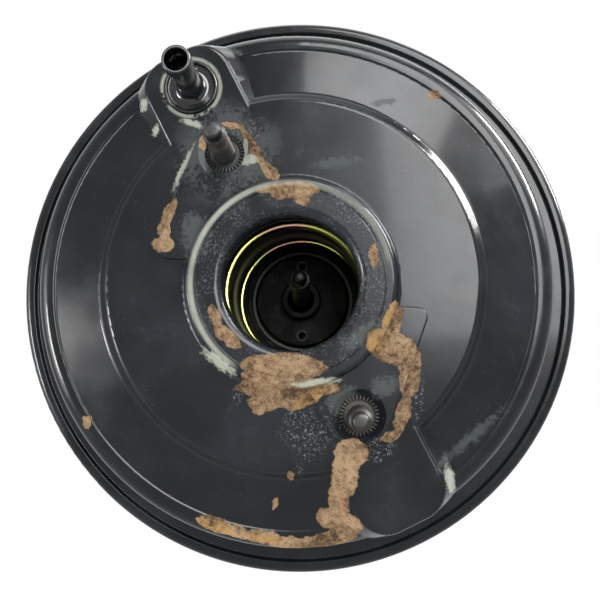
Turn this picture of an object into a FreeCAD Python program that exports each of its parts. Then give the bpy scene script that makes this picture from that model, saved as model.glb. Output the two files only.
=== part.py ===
import FreeCAD, Part
import math
import os

from FreeCAD import Vector

# Vacuum brake booster, single diaphragm, in millimetres.
# The axis lies along Y. The master cylinder is at the front, towards -Y, the pedal towards +Y, up is +Z.
# The firewall plane is y = 0 and the axis passes through the origin.

# Sheet and rubber thicknesses
SHELL_T = 1.6
PLATE_T = 1.2
BACKING_T = 2.2
RUBBER_T = 1.6
BOOT_T = 1.3
GASKET_T = 2.0
TOUCH_GAP = 0.1
BODY_GAP = 0.3
RUN_FIT = 0.06

# Front shell, depths counted back from the boss face
FACE_Y = -112.0
PILOT_R = 24.75
LIP_R = 3.0
COLLAR_LENGTH = 8.0
GROOVE_DEPTH = 0.35
GROOVE_WIDTH = 0.9
BOSS_INNER_R = 34.4
BOSS_R = 38.3
RAISED_DEPTH = 4.5
RAISED_R = 68.6
BAND_START_R = 71.8
BAND_START_DEPTH = 8.4
BAND_END_DEPTH = 13.0
SHOULDER_DEPTH = 12.5
SHOULDER_RADIUS = 5.6
FLANGE_DEPTH = 38.4
RIDGE_HEIGHT = 0.9
RIM_R = 112.0
FLANGE_WIDTH = 12.6
WALL_LEAN = 2.0
SHOULDER_WIDTH = 7.2
FOOT_BEND_R = 2.4
LIP_OVERLAP = 0.5

# The line of studs, pipe and tongues leans to the upper left
LINE_ANGLE = 117.0
TONGUE_HALF = 16.5
TONGUE_FLARE = 7.0
TONGUE_START = 50.0
TONGUE_CORNER = 12.0
TONGUE_FOOT_DEPTH = 14.0
TONGUE_TAIL_DEPTH = 34.0
TONGUE_EDGE = 2.0
PAD_DEPTH = 2.6
PAD_LOBE_R = 11.7
PAD_FLANK_ANGLE = 70.1
PAD_FLANK = 45.5
PAD_CORNER = 4.0
PAD_EDGE = 0.8
PAD_NECK = 16.0

# Master-cylinder studs
STUD_PCD = 108.0
STUD_R = 4.0
STUD_POINT_R = 2.8
STUD_POINT = 3.0
STUD_STANDS = 27.5
COLLAR_R = 7.4
COLLAR_SINK = 0.7
COINED_R = 9.7
TOOTH_COUNT = 32
TOOTH_INNER_R = 5.6
TOOTH_DEPTH = 0.7
STUD_HEAD_R = 8.6
STUD_HEAD = 3.4

# Vacuum pipe
PIPE_SHARE = 0.66129
PIPE_R = 4.45
PIPE_WALL = 0.85
PIPE_STANDS = 24.7
PIPE_END_R = 5.05
PIPE_END_LENGTH = 6.0
DISH_R = 9.9
DISH_T = 1.0
DISH_RIM = 1.0
DISH_SEAT_R = 10.4
DISH_SEAT_DEPTH = 1.0
BACKING_RING_R = 9.5

# Joint of the shells
RIM_INNER_R = RIM_R - SHELL_T
BEAD_T = 5.6
BEAD_GAP = 0.4
BEAD_WIDTH = 7.8
TAB_COUNT = 8
TAB_WIDTH = 16.0
TAB_REACH = 6.0

# Rear shell
REAR_FACE_R = 64.0
REAR_CONE_ROOM = 3.0
REAR_CONE_DEPTH = 18.0
REAR_FACE_BEND_R = 8.0
REAR_CONE_BEND_R = 12.0
REAR_WALL_BEND_R = 6.0
REAR_WALL_DEPTH = 48.0
SEAL_ROOM = 5.5
NECK_LENGTH = 16.5
NECK_LIP = 4.0
STUD_SPACING_X = 80.0
STUD_SPACING_Z = 60.0
FIREWALL_STUD_LENGTH = 24.0
FIREWALL_HEAD_R = 7.5
FIREWALL_SHOULDER_R = 5.0
REAR_PLATE_R = 60.0

# Power piston
TUBE_R = 19.5
TUBE_END_Y = 62.0
BORE_FLOOR_Y = -8.5
HUB_FACE_Y = -19.0
HUB_SWELL = 1.7
HUB_FLANGE = 4.5
HUB_FLANGE_T = 3.2
CUP_BORE_R = 13.0
GUIDE_R = 6.7
POCKET_R = 9.8
POCKET_Y = 9.0
TUBE_WALL = 4.5
CHAMBER_Y = 12.0
VALVE_SEAT_INSET = 2.2
VALVE_SEAT_HEIGHT = 2.2
PASSAGE_R = 2.0
PASSAGE_INSET = 3.2
PLATE_FRONT_Y = -13.2
PLATE_FLAT_R = 60.0
PLATE_EDGE_ROOM = 7.9
PLATE_CONE_DEPTH = 17.5
PLATE_EDGE_DEPTH = 34.0
PLATE_BEND_R = 5.0
PLATE_CONE_BEND_R = 8.0

# Output rod
BALL_R = 6.0
BALL_Y = -25.5
SOCKET_GAP = 0.1
CUP_BOSS_R = 9.0
CUP_BOSS = 12.0
MOUTH_R = 6.2
ROD_NECK_R = 3.4
ROD_R = 4.1
ROD_END_Y = -84.0
TIP_R = 3.0
TIP_LENGTH = 6.0
TIP_STEM_R = 2.4
TIP_STEM = 14.0
ROD_LEAN = 4.0
LEAN_X = 0.5
LEAN_Z = 0.866
REACTION_T = 5.6
REACTION_R = 11.0

# Return spring
SPRING_R = 28.5
SPRING_WIRE_R = 1.9
SPRING_PITCH = 28.0
SPRING_LEFT_DEPTH = 38.0
SEAT_T = 1.4
SEAT_WALL = 4.5
RETAINER_CAP_T = 0.8

# Valve plunger, input rod and valve
PLUNGER_FRONT_Y = -7.0
PLUNGER_HEAD_R = 9.2
PLUNGER_HEAD_Y = 10.6
PLUNGER_HEAD_T = 4.0
GROOVE_R = 4.6
GROOVE_FRONT_Y = -1.0
GROOVE_LENGTH = 5.2
KEY_Y = 0.2
KEY_T = 2.2
KEY_HALF_LENGTH = 22.0
KEY_HALF_WIDTH = 8.0
INPUT_BALL_R = 4.6
INPUT_BALL_Y = 10.2
INPUT_NECK_R = 3.4
INPUT_ROD_R = 5.0
INPUT_ROD_START_Y = 18.5
INPUT_ROD_END_Y = 110.0
POPPET_Y = 15.0
POPPET_T = 2.4
POPPET_GAP = 1.8
POPPET_HOLE_R = 6.4
POPPET_SKIRT = 6.0
INSERT_T = 1.0
RETAINER_Y = 33.4
RETAINER_LENGTH = 11.4
RETAINER_T = 0.9
RETAINER_RIM = 1.2
POPPET_SPRING_INSET = 4.8
POPPET_WIRE_R = 0.45
POPPET_PITCH = 3.4
ROD_SPRING_INSET = 4.0
ROD_WIRE_R = 0.7
ROD_PITCH = 4.2
ROD_SEAT_Y = 49.0
FELT_Y = 51.0
FELT_T = 4.8
FILTER_T = 5.2

# Neck seal and bearing
SEAL_RING_Y = 2.7
SEAL_RING_T = 1.4
SEAL_T = 6.2
BEARING_T = 4.2
GASKET_HOLE_R = 7.2
GASKET_MARGIN = 10.0

# Dust boot
BOOT_START_Y = 4.0
BOOT_FOLDS = 4
BOOT_FOLD_PITCH = 9.2
BOOT_CUFF = 8.6
BOOT_OVER_NECK = 4.5
BOOT_OVER_TUBE = 2.9
BOOT_TAPER = 0.5
BOOT_HOLE_R = 9.0

# Clevis
NUT_FLATS = 17.0
NUT_T = 6.5
CLEVIS_Y = 100.0
CLEVIS_BASE = 12.0
CLEVIS_WIDTH = 20.0
CLEVIS_HEIGHT = 18.0
CLEVIS_SLOT = 11.0
CLEVIS_PIN_Y = 124.0
CLEVIS_PIN_R = 5.0

# Values that follow from those above
ORIGIN = Vector(0, 0, 0)
AXIS = Vector(0, 1, 0)
TINY = 1e-6
NECK_R = TUBE_R + SEAL_ROOM
NECK_LIP_R = NECK_R - NECK_LIP
HUB_R = TUBE_R + HUB_SWELL
HUB_FLANGE_R = TUBE_R + HUB_FLANGE
CHAMBER_R = TUBE_R - TUBE_WALL
PASSAGE_RADIUS_OUT = TUBE_R - PASSAGE_INSET
POPPET_R = CHAMBER_R - POPPET_GAP
VALVE_SEAT_R = POPPET_R - VALVE_SEAT_INSET
POPPET_SPRING_R = CHAMBER_R - POPPET_SPRING_INSET
ROD_SPRING_R = CHAMBER_R - ROD_SPRING_INSET
BOOT_OUTER_R = NECK_R + BOOT_OVER_NECK
BOOT_INNER_R = TUBE_R + BOOT_OVER_TUBE
WALL_REAR_R = RIM_R - FLANGE_WIDTH
WALL_FRONT_R = WALL_REAR_R - WALL_LEAN
BAND_END_R = WALL_FRONT_R - SHOULDER_WIDTH
TONGUE_END = WALL_FRONT_R
PIPE_RADIUS_OUT = STUD_PCD / 2 + (WALL_FRONT_R - STUD_PCD / 2) * PIPE_SHARE
REAR_WALL_R = WALL_REAR_R + TOUCH_GAP
PLATE_EDGE_R = WALL_REAR_R - PLATE_EDGE_ROOM
PLATE_CONE_R = PLATE_FLAT_R + (PLATE_EDGE_R - PLATE_FLAT_R) * 2 / 3
REAR_CONE_R = PLATE_CONE_R + REAR_CONE_ROOM
LINE = math.radians(LINE_ANGLE)
REAR_Y = -GASKET_T
FLANGE_Y = FACE_Y + FLANGE_DEPTH
BEAD_FRONT_Y = FLANGE_Y + SHELL_T
BEAD_REAR_Y = BEAD_FRONT_Y + BEAD_T
JOINT_Y = BEAD_REAR_Y + SHELL_T
TAB_Y = JOINT_Y + SHELL_T
REAR_FACE_INNER_Y = REAR_Y - SHELL_T
PAD_INNER_Y = FACE_Y + PAD_DEPTH + SHELL_T
FRONT_PLATE_REAR_Y = PAD_INNER_Y + BACKING_T
FRONT_SEAT_Y = FACE_Y + SHELL_T
SPRING_FRONT_Y = FRONT_SEAT_Y + SEAT_T
SPRING_REAR_Y = PLATE_FRONT_Y - SEAT_T
DIAPHRAGM_Y = PLATE_FRONT_Y + PLATE_T + BODY_GAP
REAR_PLATE_FRONT_Y = REAR_FACE_INNER_Y - BACKING_T
NECK_INNER_R = NECK_R - SHELL_T
SEAL_Y = SEAL_RING_Y + SEAL_RING_T + TOUCH_GAP
BEARING_Y = SEAL_Y + SEAL_T + TOUCH_GAP


def on_line(out):
    """A point on the line of studs, out from the axis, as X and Z."""
    return out * math.cos(LINE), out * math.sin(LINE)


def rounded_edges(corners):
    """A closed outline of lines through the corners, each rounded by its own radius."""
    points = [Vector(c[0], c[1], 0) for c in corners]
    radii = [c[2] if len(c) > 2 else 0 for c in corners]
    count = len(points)
    starts = list(points)
    ends = list(points)
    arcs = [None] * count
    for i in range(count):
        if radii[i] > TINY:
            back = (points[i - 1] - points[i]).normalize()
            ahead = (points[(i + 1) % count] - points[i]).normalize()
            half = back.getAngle(ahead) / 2
            starts[i] = points[i] + back * (radii[i] / math.tan(half))
            ends[i] = points[i] + ahead * (radii[i] / math.tan(half))
            middle = points[i] + (back + ahead).normalize() * (radii[i] / math.sin(half) - radii[i])
            arcs[i] = Part.Arc(starts[i], middle, ends[i]).toShape()
    edges = []
    for i in range(count):
        if arcs[i] is not None:
            edges.append(arcs[i])
        following = starts[(i + 1) % count]
        if ends[i].distanceToPoint(following) > TINY:
            edges.append(Part.makeLine(ends[i], following))
    return edges


def outline_face(corners):
    """A flat face inside a closed outline, drawn in X and Y."""
    return Part.Face(Part.Wire(rounded_edges(corners)))


def turned(corners):
    """A solid of revolution about the axis from corners given as radius, y and rounding."""
    return outline_face(corners).revolve(ORIGIN, AXIS, 360)


def shifted(path, distance):
    """The same open path moved sideways by a distance, with its roundings kept parallel."""
    points = [Vector(c[0], c[1], 0) for c in path]
    steps = [(points[i + 1] - points[i]).normalize() for i in range(len(points) - 1)]
    sides = [Vector(-s.y, s.x, 0) for s in steps]
    moved = []
    for i, point in enumerate(points):
        before = sides[max(i - 1, 0)]
        after = sides[min(i, len(sides) - 1)]
        place = point + (before + after) * (distance / (1 + before.dot(after)))
        radius = path[i][2] if len(path[i]) > 2 else 0
        if 0 < i < len(points) - 1 and radius > 0:
            turn = math.copysign(1, steps[i - 1].cross(steps[i]).z)
            radius = max(radius - distance * turn, 0)
        moved.append((place.x, place.y, radius))
    return moved


def sheet(path, thickness):
    """A turned sheet whose one face follows the path and whose other face lies to its left."""
    return turned(list(path) + shifted(path, thickness)[::-1])


def ring(inner, outer, y0, y1, rounding=0.0):
    """A plain or rounded ring about the axis."""
    corners = [(inner, y0, rounding), (outer, y0, rounding), (outer, y1, rounding), (inner, y1, rounding)]
    return turned(corners)


def rod_at(x, z, radius, y0, y1):
    """A cylinder along Y."""
    return Part.makeCylinder(radius, y1 - y0, Vector(x, y0, z), AXIS)


def standing(corners, y0, y1):
    """A prism along Y from an outline given in X and Z."""
    face = outline_face([(c[0], -c[1]) + tuple(c[2:]) for c in corners])
    face.rotate(ORIGIN, Vector(1, 0, 0), -90)
    face.translate(Vector(0, y0, 0))
    return face.extrude(Vector(0, y1 - y0, 0))


def edges_at(shape, y, tolerance=0.01):
    """The edges of a shape that lie wholly in the plane y."""
    low = y - tolerance
    high = y + tolerance
    return [e for e in shape.Edges if low < e.BoundBox.YMin and e.BoundBox.YMax < high]


# Front shell

def front_path():
    """Outer face of the front shell, from the axis to the rim."""
    return [
        (0, FACE_Y),
        (BOSS_INNER_R - GROOVE_WIDTH / 2, FACE_Y),
        (BOSS_INNER_R, FACE_Y + GROOVE_DEPTH, 0.2),
        (BOSS_INNER_R + GROOVE_WIDTH / 2, FACE_Y, 0.1),
        (BOSS_R, FACE_Y, 1.8),
        (BOSS_R + 1.0, FACE_Y + RAISED_DEPTH, 1.4),
        (RAISED_R, FACE_Y + RAISED_DEPTH, 2.2),
        (BAND_START_R, FACE_Y + BAND_START_DEPTH, 3.0),
        (BAND_END_R, FACE_Y + BAND_END_DEPTH, 0.8),
        (BAND_END_R + 0.9, FACE_Y + SHOULDER_DEPTH, 0.6),
        (WALL_FRONT_R, FACE_Y + SHOULDER_DEPTH, SHOULDER_RADIUS),
        (WALL_REAR_R, FLANGE_Y, FOOT_BEND_R),
        (RIM_R - 5.6, FLANGE_Y, 0.9),
        (RIM_R - 4.3, FLANGE_Y - RIDGE_HEIGHT, 0.9),
        (RIM_R, FLANGE_Y - RIDGE_HEIGHT, 3.0),
        (RIM_R, TAB_Y),
    ]


def front_inner_path():
    """Inner face of the front shell, one sheet thickness inside its plain form."""
    form = [
        (0, FACE_Y),
        (BOSS_R, FACE_Y, 1.8),
        (BOSS_R + 1.0, FACE_Y + RAISED_DEPTH, 1.4),
        (RAISED_R, FACE_Y + RAISED_DEPTH, 2.2),
        (BAND_START_R, FACE_Y + BAND_START_DEPTH, 3.0),
        (BAND_END_R, FACE_Y + SHOULDER_DEPTH, 2.0),
        (WALL_FRONT_R, FACE_Y + SHOULDER_DEPTH, SHOULDER_RADIUS),
        (WALL_REAR_R, FLANGE_Y, FOOT_BEND_R),
        (RIM_R, FLANGE_Y, FOOT_BEND_R),
        (RIM_R, TAB_Y),
    ]
    return shifted(form, SHELL_T)


def filled(path):
    """The solid that an outer path encloses with the axis."""
    last = path[-1]
    return turned([(0, path[0][1])] + list(path[1:]) + [(0, last[1])])


def tongue(inward, side):
    """One raised tongue across the sunk band, as a block that is set back by the inward value."""
    top = FACE_Y + RAISED_DEPTH + inward
    foot = FACE_Y + TONGUE_FOOT_DEPTH
    tail = FACE_Y + TONGUE_TAIL_DEPTH
    drop = (foot - top) / (foot - FACE_Y - RAISED_DEPTH)
    levels = [
        (TONGUE_HALF - inward, TONGUE_END - inward, TONGUE_CORNER - inward, top),
        (TONGUE_HALF + TONGUE_FLARE * drop - inward, TONGUE_END + 0.6 - inward, TONGUE_CORNER + 2 - inward, foot),
        (TONGUE_HALF - inward, TONGUE_END + 0.6 - inward, TONGUE_CORNER - inward, foot),
        (TONGUE_HALF - inward, TONGUE_END + 1.4 - inward, TONGUE_CORNER - inward, tail),
    ]
    wires = []
    for half, end, corner, y in levels:
        outline = [(TONGUE_START, -half), (end, -half, corner), (end, half, corner), (TONGUE_START, half)]
        wire = Part.Wire(rounded_edges(outline))
        wire.rotate(ORIGIN, Vector(1, 0, 0), 90)
        wire.translate(Vector(0, y, 0))
        wires.append(wire)
    upper = Part.makeLoft(wires[:2], True, True)
    lower = Part.makeLoft(wires[2:], True, True)
    front = [e for e in edges_at(upper, top) if e.BoundBox.XMax > TONGUE_START + 1]
    upper = upper.makeFillet(max(TONGUE_EDGE - inward / 2, 0.5), front)
    block = upper.fuse(lower)
    block.rotate(ORIGIN, AXIS, -LINE_ANGLE + side)
    return block


def pad_outline(inward):
    """The low diamond round both studs: flanks tangent to a lobe about each stud."""
    lobe = PAD_LOBE_R - inward
    left = math.radians(PAD_FLANK_ANGLE)
    middle = (left + LINE) / 2
    half = (LINE - left) / 2
    stud_x, stud_z = on_line(STUD_PCD / 2)
    reach = lobe / math.sin(half)
    peak = (stud_x + reach * math.cos(middle), stud_z + reach * math.sin(middle))
    flank = reach * math.cos(half) + PAD_FLANK - inward
    corner = (peak[0] - flank * math.cos(left), peak[1] - flank * math.sin(left))
    inner = (peak[0] - (reach + PAD_NECK) * math.cos(LINE), peak[1] - (reach + PAD_NECK) * math.sin(LINE))
    near = (-30.0, corner[1] - 1.0)
    half_turn = [near + (0,), corner + (PAD_CORNER - inward / 2,), peak + (lobe,), inner + (0,)]
    return half_turn + [(-c[0], -c[1], c[2]) for c in half_turn]


def pad(inward, y1):
    """The diamond pad, set back by the inward value, with its front edge rounded."""
    y0 = FACE_Y + PAD_DEPTH + inward
    block = standing(pad_outline(inward), y0, y1)
    if inward == 0:
        block = block.makeFillet(PAD_EDGE, edges_at(block, y0))
    return block


def pilot_lip():
    """The rolled edge of the pilot hole, turned back into a short collar."""
    path = [
        (PILOT_R, FACE_Y + COLLAR_LENGTH),
        (PILOT_R, FACE_Y, LIP_R),
        (PILOT_R + LIP_R + LIP_OVERLAP, FACE_Y),
    ]
    return sheet(path, SHELL_T)


def crimp_tabs():
    """Tabs of the rim, bent in behind the flange of the rear shell."""
    hoop = ring(RIM_R - SHELL_T - TAB_REACH, RIM_R - SHELL_T / 2, JOINT_Y, TAB_Y)
    tabs = []
    for i in range(TAB_COUNT):
        block = Part.makeBox(TAB_WIDTH, SHELL_T, RIM_R, Vector(-TAB_WIDTH / 2, JOINT_Y, 0))
        block.rotate(ORIGIN, AXIS, 360.0 * (i + 0.5) / TAB_COUNT)
        tabs.append(hoop.common(block))
    return tabs


def front_shell():
    outer = filled(front_path())
    inner = filled(front_inner_path())
    for side in (0, 180):
        outer = outer.fuse(tongue(0, side))
        inner = inner.fuse(tongue(SHELL_T, side))
    outer = outer.fuse(pad(0, FACE_Y + RAISED_DEPTH + 1))
    inner = inner.fuse(pad(SHELL_T, FACE_Y + RAISED_DEPTH + SHELL_T + 1))
    shell = outer.cut(inner)
    shell = shell.cut(rod_at(0, 0, PILOT_R + LIP_R + LIP_OVERLAP, FACE_Y - 1, FACE_Y + COLLAR_LENGTH))
    shell = shell.fuse([pilot_lip()] + crimp_tabs())
    pad_y = FACE_Y + PAD_DEPTH
    for side in (1, -1):
        x, z = on_line(side * STUD_PCD / 2)
        coined = Part.makeCone(COINED_R, COLLAR_R, COLLAR_SINK, Vector(x, pad_y, z), AXIS)
        shell = shell.cut([rod_at(x, z, COLLAR_R, pad_y - 1, PAD_INNER_Y + 1), coined])
    x, z = on_line(PIPE_RADIUS_OUT)
    top = FACE_Y + RAISED_DEPTH
    seat_floor = top + DISH_SEAT_DEPTH
    boss = rod_at(x, z, DISH_SEAT_R + SHELL_T, top + SHELL_T / 2, seat_floor + SHELL_T)
    shell = shell.fuse(boss)
    shell = shell.cut(rod_at(x, z, DISH_SEAT_R, top - 1, seat_floor))
    shell = shell.cut(rod_at(x, z, PIPE_R, top, seat_floor + SHELL_T + 1))
    return shell.removeSplitter()


def front_reinforcement_plate():
    plate = standing(pad_outline(SHELL_T + TOUCH_GAP), PAD_INNER_Y, FRONT_PLATE_REAR_Y)
    hub = rod_at(0, 0, BOSS_R - SHELL_T - TOUCH_GAP, PAD_INNER_Y, FRONT_PLATE_REAR_Y)
    plate = plate.fuse(hub).removeSplitter()
    hole = SPRING_R + SPRING_WIRE_R + SEAT_T + 1.0
    plate = plate.cut(rod_at(0, 0, hole, PAD_INNER_Y - 1, FRONT_PLATE_REAR_Y + 1))
    for side in (1, -1):
        x, z = on_line(side * STUD_PCD / 2)
        plate = plate.cut(rod_at(x, z, COLLAR_R, PAD_INNER_Y - 1, FRONT_PLATE_REAR_Y + 1))
    return plate


def serrated_stud():
    """One stud on the axis, tip to the front, with radial teeth on the face of its collar."""
    tip = FACE_Y - STUD_STANDS
    collar = FACE_Y + PAD_DEPTH + COLLAR_SINK
    stud = turned([
        (0, tip),
        (STUD_POINT_R, tip, 0.8),
        (STUD_POINT_R, tip + STUD_POINT),
        (STUD_R, tip + STUD_POINT + 1.0),
        (STUD_R, collar + TOOTH_DEPTH),
        (TOOTH_INNER_R, collar + TOOTH_DEPTH),
        (TOOTH_INNER_R, collar),
        (COLLAR_R, collar),
        (COLLAR_R, FRONT_PLATE_REAR_Y),
        (STUD_HEAD_R, FRONT_PLATE_REAR_Y),
        (STUD_HEAD_R, FRONT_PLATE_REAR_Y + STUD_HEAD, 1.0),
        (0, FRONT_PLATE_REAR_Y + STUD_HEAD),
    ])
    half = math.pi * (COLLAR_R + 0.5) / TOOTH_COUNT * 0.62
    notch_face = Part.Face(Part.makePolygon([
        Vector(-half, collar - 0.1, TOOTH_INNER_R - 0.1),
        Vector(half, collar - 0.1, TOOTH_INNER_R - 0.1),
        Vector(0, collar + TOOTH_DEPTH, TOOTH_INNER_R - 0.1),
        Vector(-half, collar - 0.1, TOOTH_INNER_R - 0.1),
    ]))
    notch = notch_face.extrude(Vector(0, 0, COLLAR_R - TOOTH_INNER_R + 1))
    notches = []
    for i in range(TOOTH_COUNT):
        notches.append(notch.rotated(ORIGIN, AXIS, 360.0 * i / TOOTH_COUNT))
    return stud.cut(notches)


def master_cylinder_studs():
    stud = serrated_stud()
    placed = []
    for side in (1, -1):
        x, z = on_line(side * STUD_PCD / 2)
        placed.append(stud.translated(Vector(x, 0, z)))
    return Part.makeCompound(placed)


def vacuum_pipe():
    tip = FACE_Y - PIPE_STANDS
    floor = FACE_Y + RAISED_DEPTH + DISH_SEAT_DEPTH - DISH_T
    end = FACE_Y + RAISED_DEPTH + DISH_SEAT_DEPTH + SHELL_T + 1.8
    inner = PIPE_R - PIPE_WALL
    mouth = PIPE_END_R - PIPE_WALL
    pipe = turned([
        (mouth, tip),
        (PIPE_END_R, tip, 0.4),
        (PIPE_END_R, tip + PIPE_END_LENGTH, 0.6),
        (PIPE_R, tip + PIPE_END_LENGTH + 0.9, 0.4),
        (PIPE_R, floor, 2.4),
        (DISH_R - 1.2, floor, 0.6),
        (DISH_R - 0.8, floor - DISH_RIM, 0.35),
        (DISH_R, floor - DISH_RIM, 0.35),
        (DISH_R, floor + DISH_T),
        (PIPE_R, floor + DISH_T),
        (PIPE_R, end - 1.6),
        (PIPE_R + 0.8, end, 0.3),
        (inner + 0.8, end),
        (inner, end - 1.6),
        (inner, tip + PIPE_END_LENGTH + 0.9, 0.6),
        (mouth, tip + PIPE_END_LENGTH, 0.4),
    ])
    x, z = on_line(PIPE_RADIUS_OUT)
    return pipe.translated(Vector(x, 0, z))


def pipe_backing_ring():
    y0 = FACE_Y + RAISED_DEPTH + DISH_SEAT_DEPTH + SHELL_T
    hoop = ring(PIPE_R + TOUCH_GAP, BACKING_RING_R, y0, y0 + 1.6 - TOUCH_GAP, 0.0)
    flare = Part.makeCone(PIPE_R, PIPE_R + 1.0, 1.9, Vector(0, y0 + 0.1, 0), AXIS)
    x, z = on_line(PIPE_RADIUS_OUT)
    return hoop.cut(flare).translated(Vector(x, 0, z))


# Rear shell

def rear_shell():
    path = [
        (NECK_LIP_R, REAR_Y + NECK_LENGTH + GASKET_T),
        (NECK_R, REAR_Y + NECK_LENGTH + GASKET_T, 2.2),
        (NECK_R, REAR_Y, 2.0),
        (REAR_FACE_R, REAR_Y, REAR_FACE_BEND_R),
        (REAR_CONE_R, REAR_Y - REAR_CONE_DEPTH, REAR_CONE_BEND_R),
        (REAR_WALL_R, REAR_Y - REAR_WALL_DEPTH, REAR_WALL_BEND_R),
        (REAR_WALL_R + 2.0, JOINT_Y, 2.2),
        (RIM_INNER_R - TOUCH_GAP, JOINT_Y),
    ]
    shell = sheet(path, -SHELL_T)
    for x, z in firewall_places():
        shell = shell.cut(rod_at(x, z, FIREWALL_SHOULDER_R, REAR_FACE_INNER_Y - 1, REAR_Y + 1))
    return shell


def firewall_places():
    """Centres of the four firewall studs in X and Z."""
    half_x = STUD_SPACING_X / 2
    half_z = STUD_SPACING_Z / 2
    return [(x, z) for x in (-half_x, half_x) for z in (-half_z, half_z)]


def rear_reinforcement_plate():
    plate = ring(NECK_R + 2.5, REAR_PLATE_R, REAR_PLATE_FRONT_Y, REAR_FACE_INNER_Y)
    for x, z in firewall_places():
        hole = rod_at(x, z, FIREWALL_SHOULDER_R, REAR_PLATE_FRONT_Y - 1, REAR_FACE_INNER_Y + 1)
        plate = plate.cut(hole)
    return plate


def firewall_studs():
    head_y = REAR_PLATE_FRONT_Y - 2.6
    stud = turned([
        (0, head_y),
        (FIREWALL_HEAD_R, head_y, 0.8),
        (FIREWALL_HEAD_R, REAR_PLATE_FRONT_Y),
        (FIREWALL_SHOULDER_R, REAR_PLATE_FRONT_Y),
        (FIREWALL_SHOULDER_R, REAR_Y),
        (STUD_R, REAR_Y),
        (STUD_R, FIREWALL_STUD_LENGTH - STUD_POINT - 1.0),
        (STUD_POINT_R, FIREWALL_STUD_LENGTH - STUD_POINT),
        (STUD_POINT_R, FIREWALL_STUD_LENGTH, 0.8),
        (0, FIREWALL_STUD_LENGTH),
    ])
    return Part.makeCompound([stud.translated(Vector(x, 0, z)) for x, z in firewall_places()])


def firewall_gasket():
    half_x = STUD_SPACING_X / 2 + GASKET_MARGIN
    half_z = STUD_SPACING_Z / 2 + GASKET_MARGIN
    places = [(-half_x, -half_z), (half_x, -half_z), (half_x, half_z), (-half_x, half_z)]
    corners = [(x, z, GASKET_MARGIN) for x, z in places]
    gasket = standing(corners, REAR_Y, 0)
    gasket = gasket.cut(rod_at(0, 0, NECK_R + 2.2, REAR_Y - 1, 1))
    for x, z in firewall_places():
        gasket = gasket.cut(rod_at(x, z, GASKET_HOLE_R, REAR_Y - 1, 1))
    return gasket


def neck_seal_retainer():
    return ring(TUBE_R + 0.7, NECK_INNER_R, SEAL_RING_Y, SEAL_RING_Y + SEAL_RING_T)


def neck_seal():
    inner = TUBE_R + RUN_FIT
    end = SEAL_Y + SEAL_T
    return turned([
        (inner + 1.6, SEAL_Y, 0.3),
        (NECK_INNER_R, SEAL_Y),
        (NECK_INNER_R, end),
        (inner + 0.9, end, 0.3),
        (inner + 0.9, end - 2.2, 0.3),
        (inner, SEAL_Y + 1.6, 0.2),
        (inner, SEAL_Y + 0.9, 0.2),
    ])


def neck_bearing():
    return ring(TUBE_R + RUN_FIT, NECK_INNER_R, BEARING_Y, BEARING_Y + BEARING_T, 0.4)


def diaphragm():
    """Rubber membrane: bead under the rim, loose fold, cone on the plate and bead on the hub."""
    front = DIAPHRAGM_Y
    lift = PLATE_T + BODY_GAP
    edge_y = PLATE_FRONT_Y - PLATE_EDGE_DEPTH
    web_y = (BEAD_FRONT_Y + BEAD_REAR_Y) / 2 + RUBBER_T / 2
    path = [
        (TUBE_R + 2.6, front),
        (PLATE_FLAT_R + 0.7, front, PLATE_BEND_R - 1.0),
        (PLATE_CONE_R + lift, front - PLATE_CONE_DEPTH + 1.2, PLATE_CONE_BEND_R + 1.0),
        (PLATE_EDGE_R + lift, edge_y, 6.0),
        (PLATE_EDGE_R + 2.6, web_y - 2.0, 3.5),
        (RIM_INNER_R - 7.0, web_y - RUBBER_T),
    ]
    web = sheet(path, RUBBER_T)
    bead = ring(RIM_INNER_R - BEAD_GAP - BEAD_WIDTH, RIM_INNER_R - BEAD_GAP, BEAD_FRONT_Y, BEAD_REAR_Y, 0.8)
    hub = ring(TUBE_R + BODY_GAP, TUBE_R + 5.0, front, front + 3.2, 0.8)
    return web.fuse([bead, hub]).removeSplitter()


# Power piston

def valve_body():
    flange_y = PLATE_FRONT_Y - TOUCH_GAP
    body = turned([
        (CUP_BORE_R, HUB_FACE_Y),
        (HUB_R, HUB_FACE_Y, 0.6),
        (HUB_R, flange_y - HUB_FLANGE_T),
        (HUB_FLANGE_R, flange_y - HUB_FLANGE_T, 0.5),
        (HUB_FLANGE_R, flange_y),
        (TUBE_R, flange_y),
        (TUBE_R, TUBE_END_Y, 0.8),
        (CHAMBER_R, TUBE_END_Y),
        (CHAMBER_R, CHAMBER_Y, 0.8),
        (VALVE_SEAT_R + 0.7, CHAMBER_Y),
        (VALVE_SEAT_R + 0.5, CHAMBER_Y + VALVE_SEAT_HEIGHT, 0.25),
        (VALVE_SEAT_R - 0.5, CHAMBER_Y + VALVE_SEAT_HEIGHT, 0.25),
        (VALVE_SEAT_R - 0.7, CHAMBER_Y),
        (POCKET_R, CHAMBER_Y),
        (POCKET_R, POCKET_Y),
        (GUIDE_R, POCKET_Y),
        (GUIDE_R, BORE_FLOOR_Y),
        (CUP_BORE_R, BORE_FLOOR_Y),
    ])
    slot_y0 = KEY_Y - BODY_GAP
    slot_y1 = KEY_Y + KEY_T + BODY_GAP
    half = KEY_HALF_WIDTH + BODY_GAP
    slot = standing([(-TUBE_R - 1, -half), (TUBE_R + 1, -half), (TUBE_R + 1, half), (-TUBE_R - 1, half)],
                    slot_y0, slot_y1)
    passages = []
    for side in (1, -1):
        passages.append(rod_at(0, side * PASSAGE_RADIUS_OUT, PASSAGE_R, HUB_FACE_Y - 1, CHAMBER_Y + 1))
    return body.cut([slot] + passages)


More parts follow.
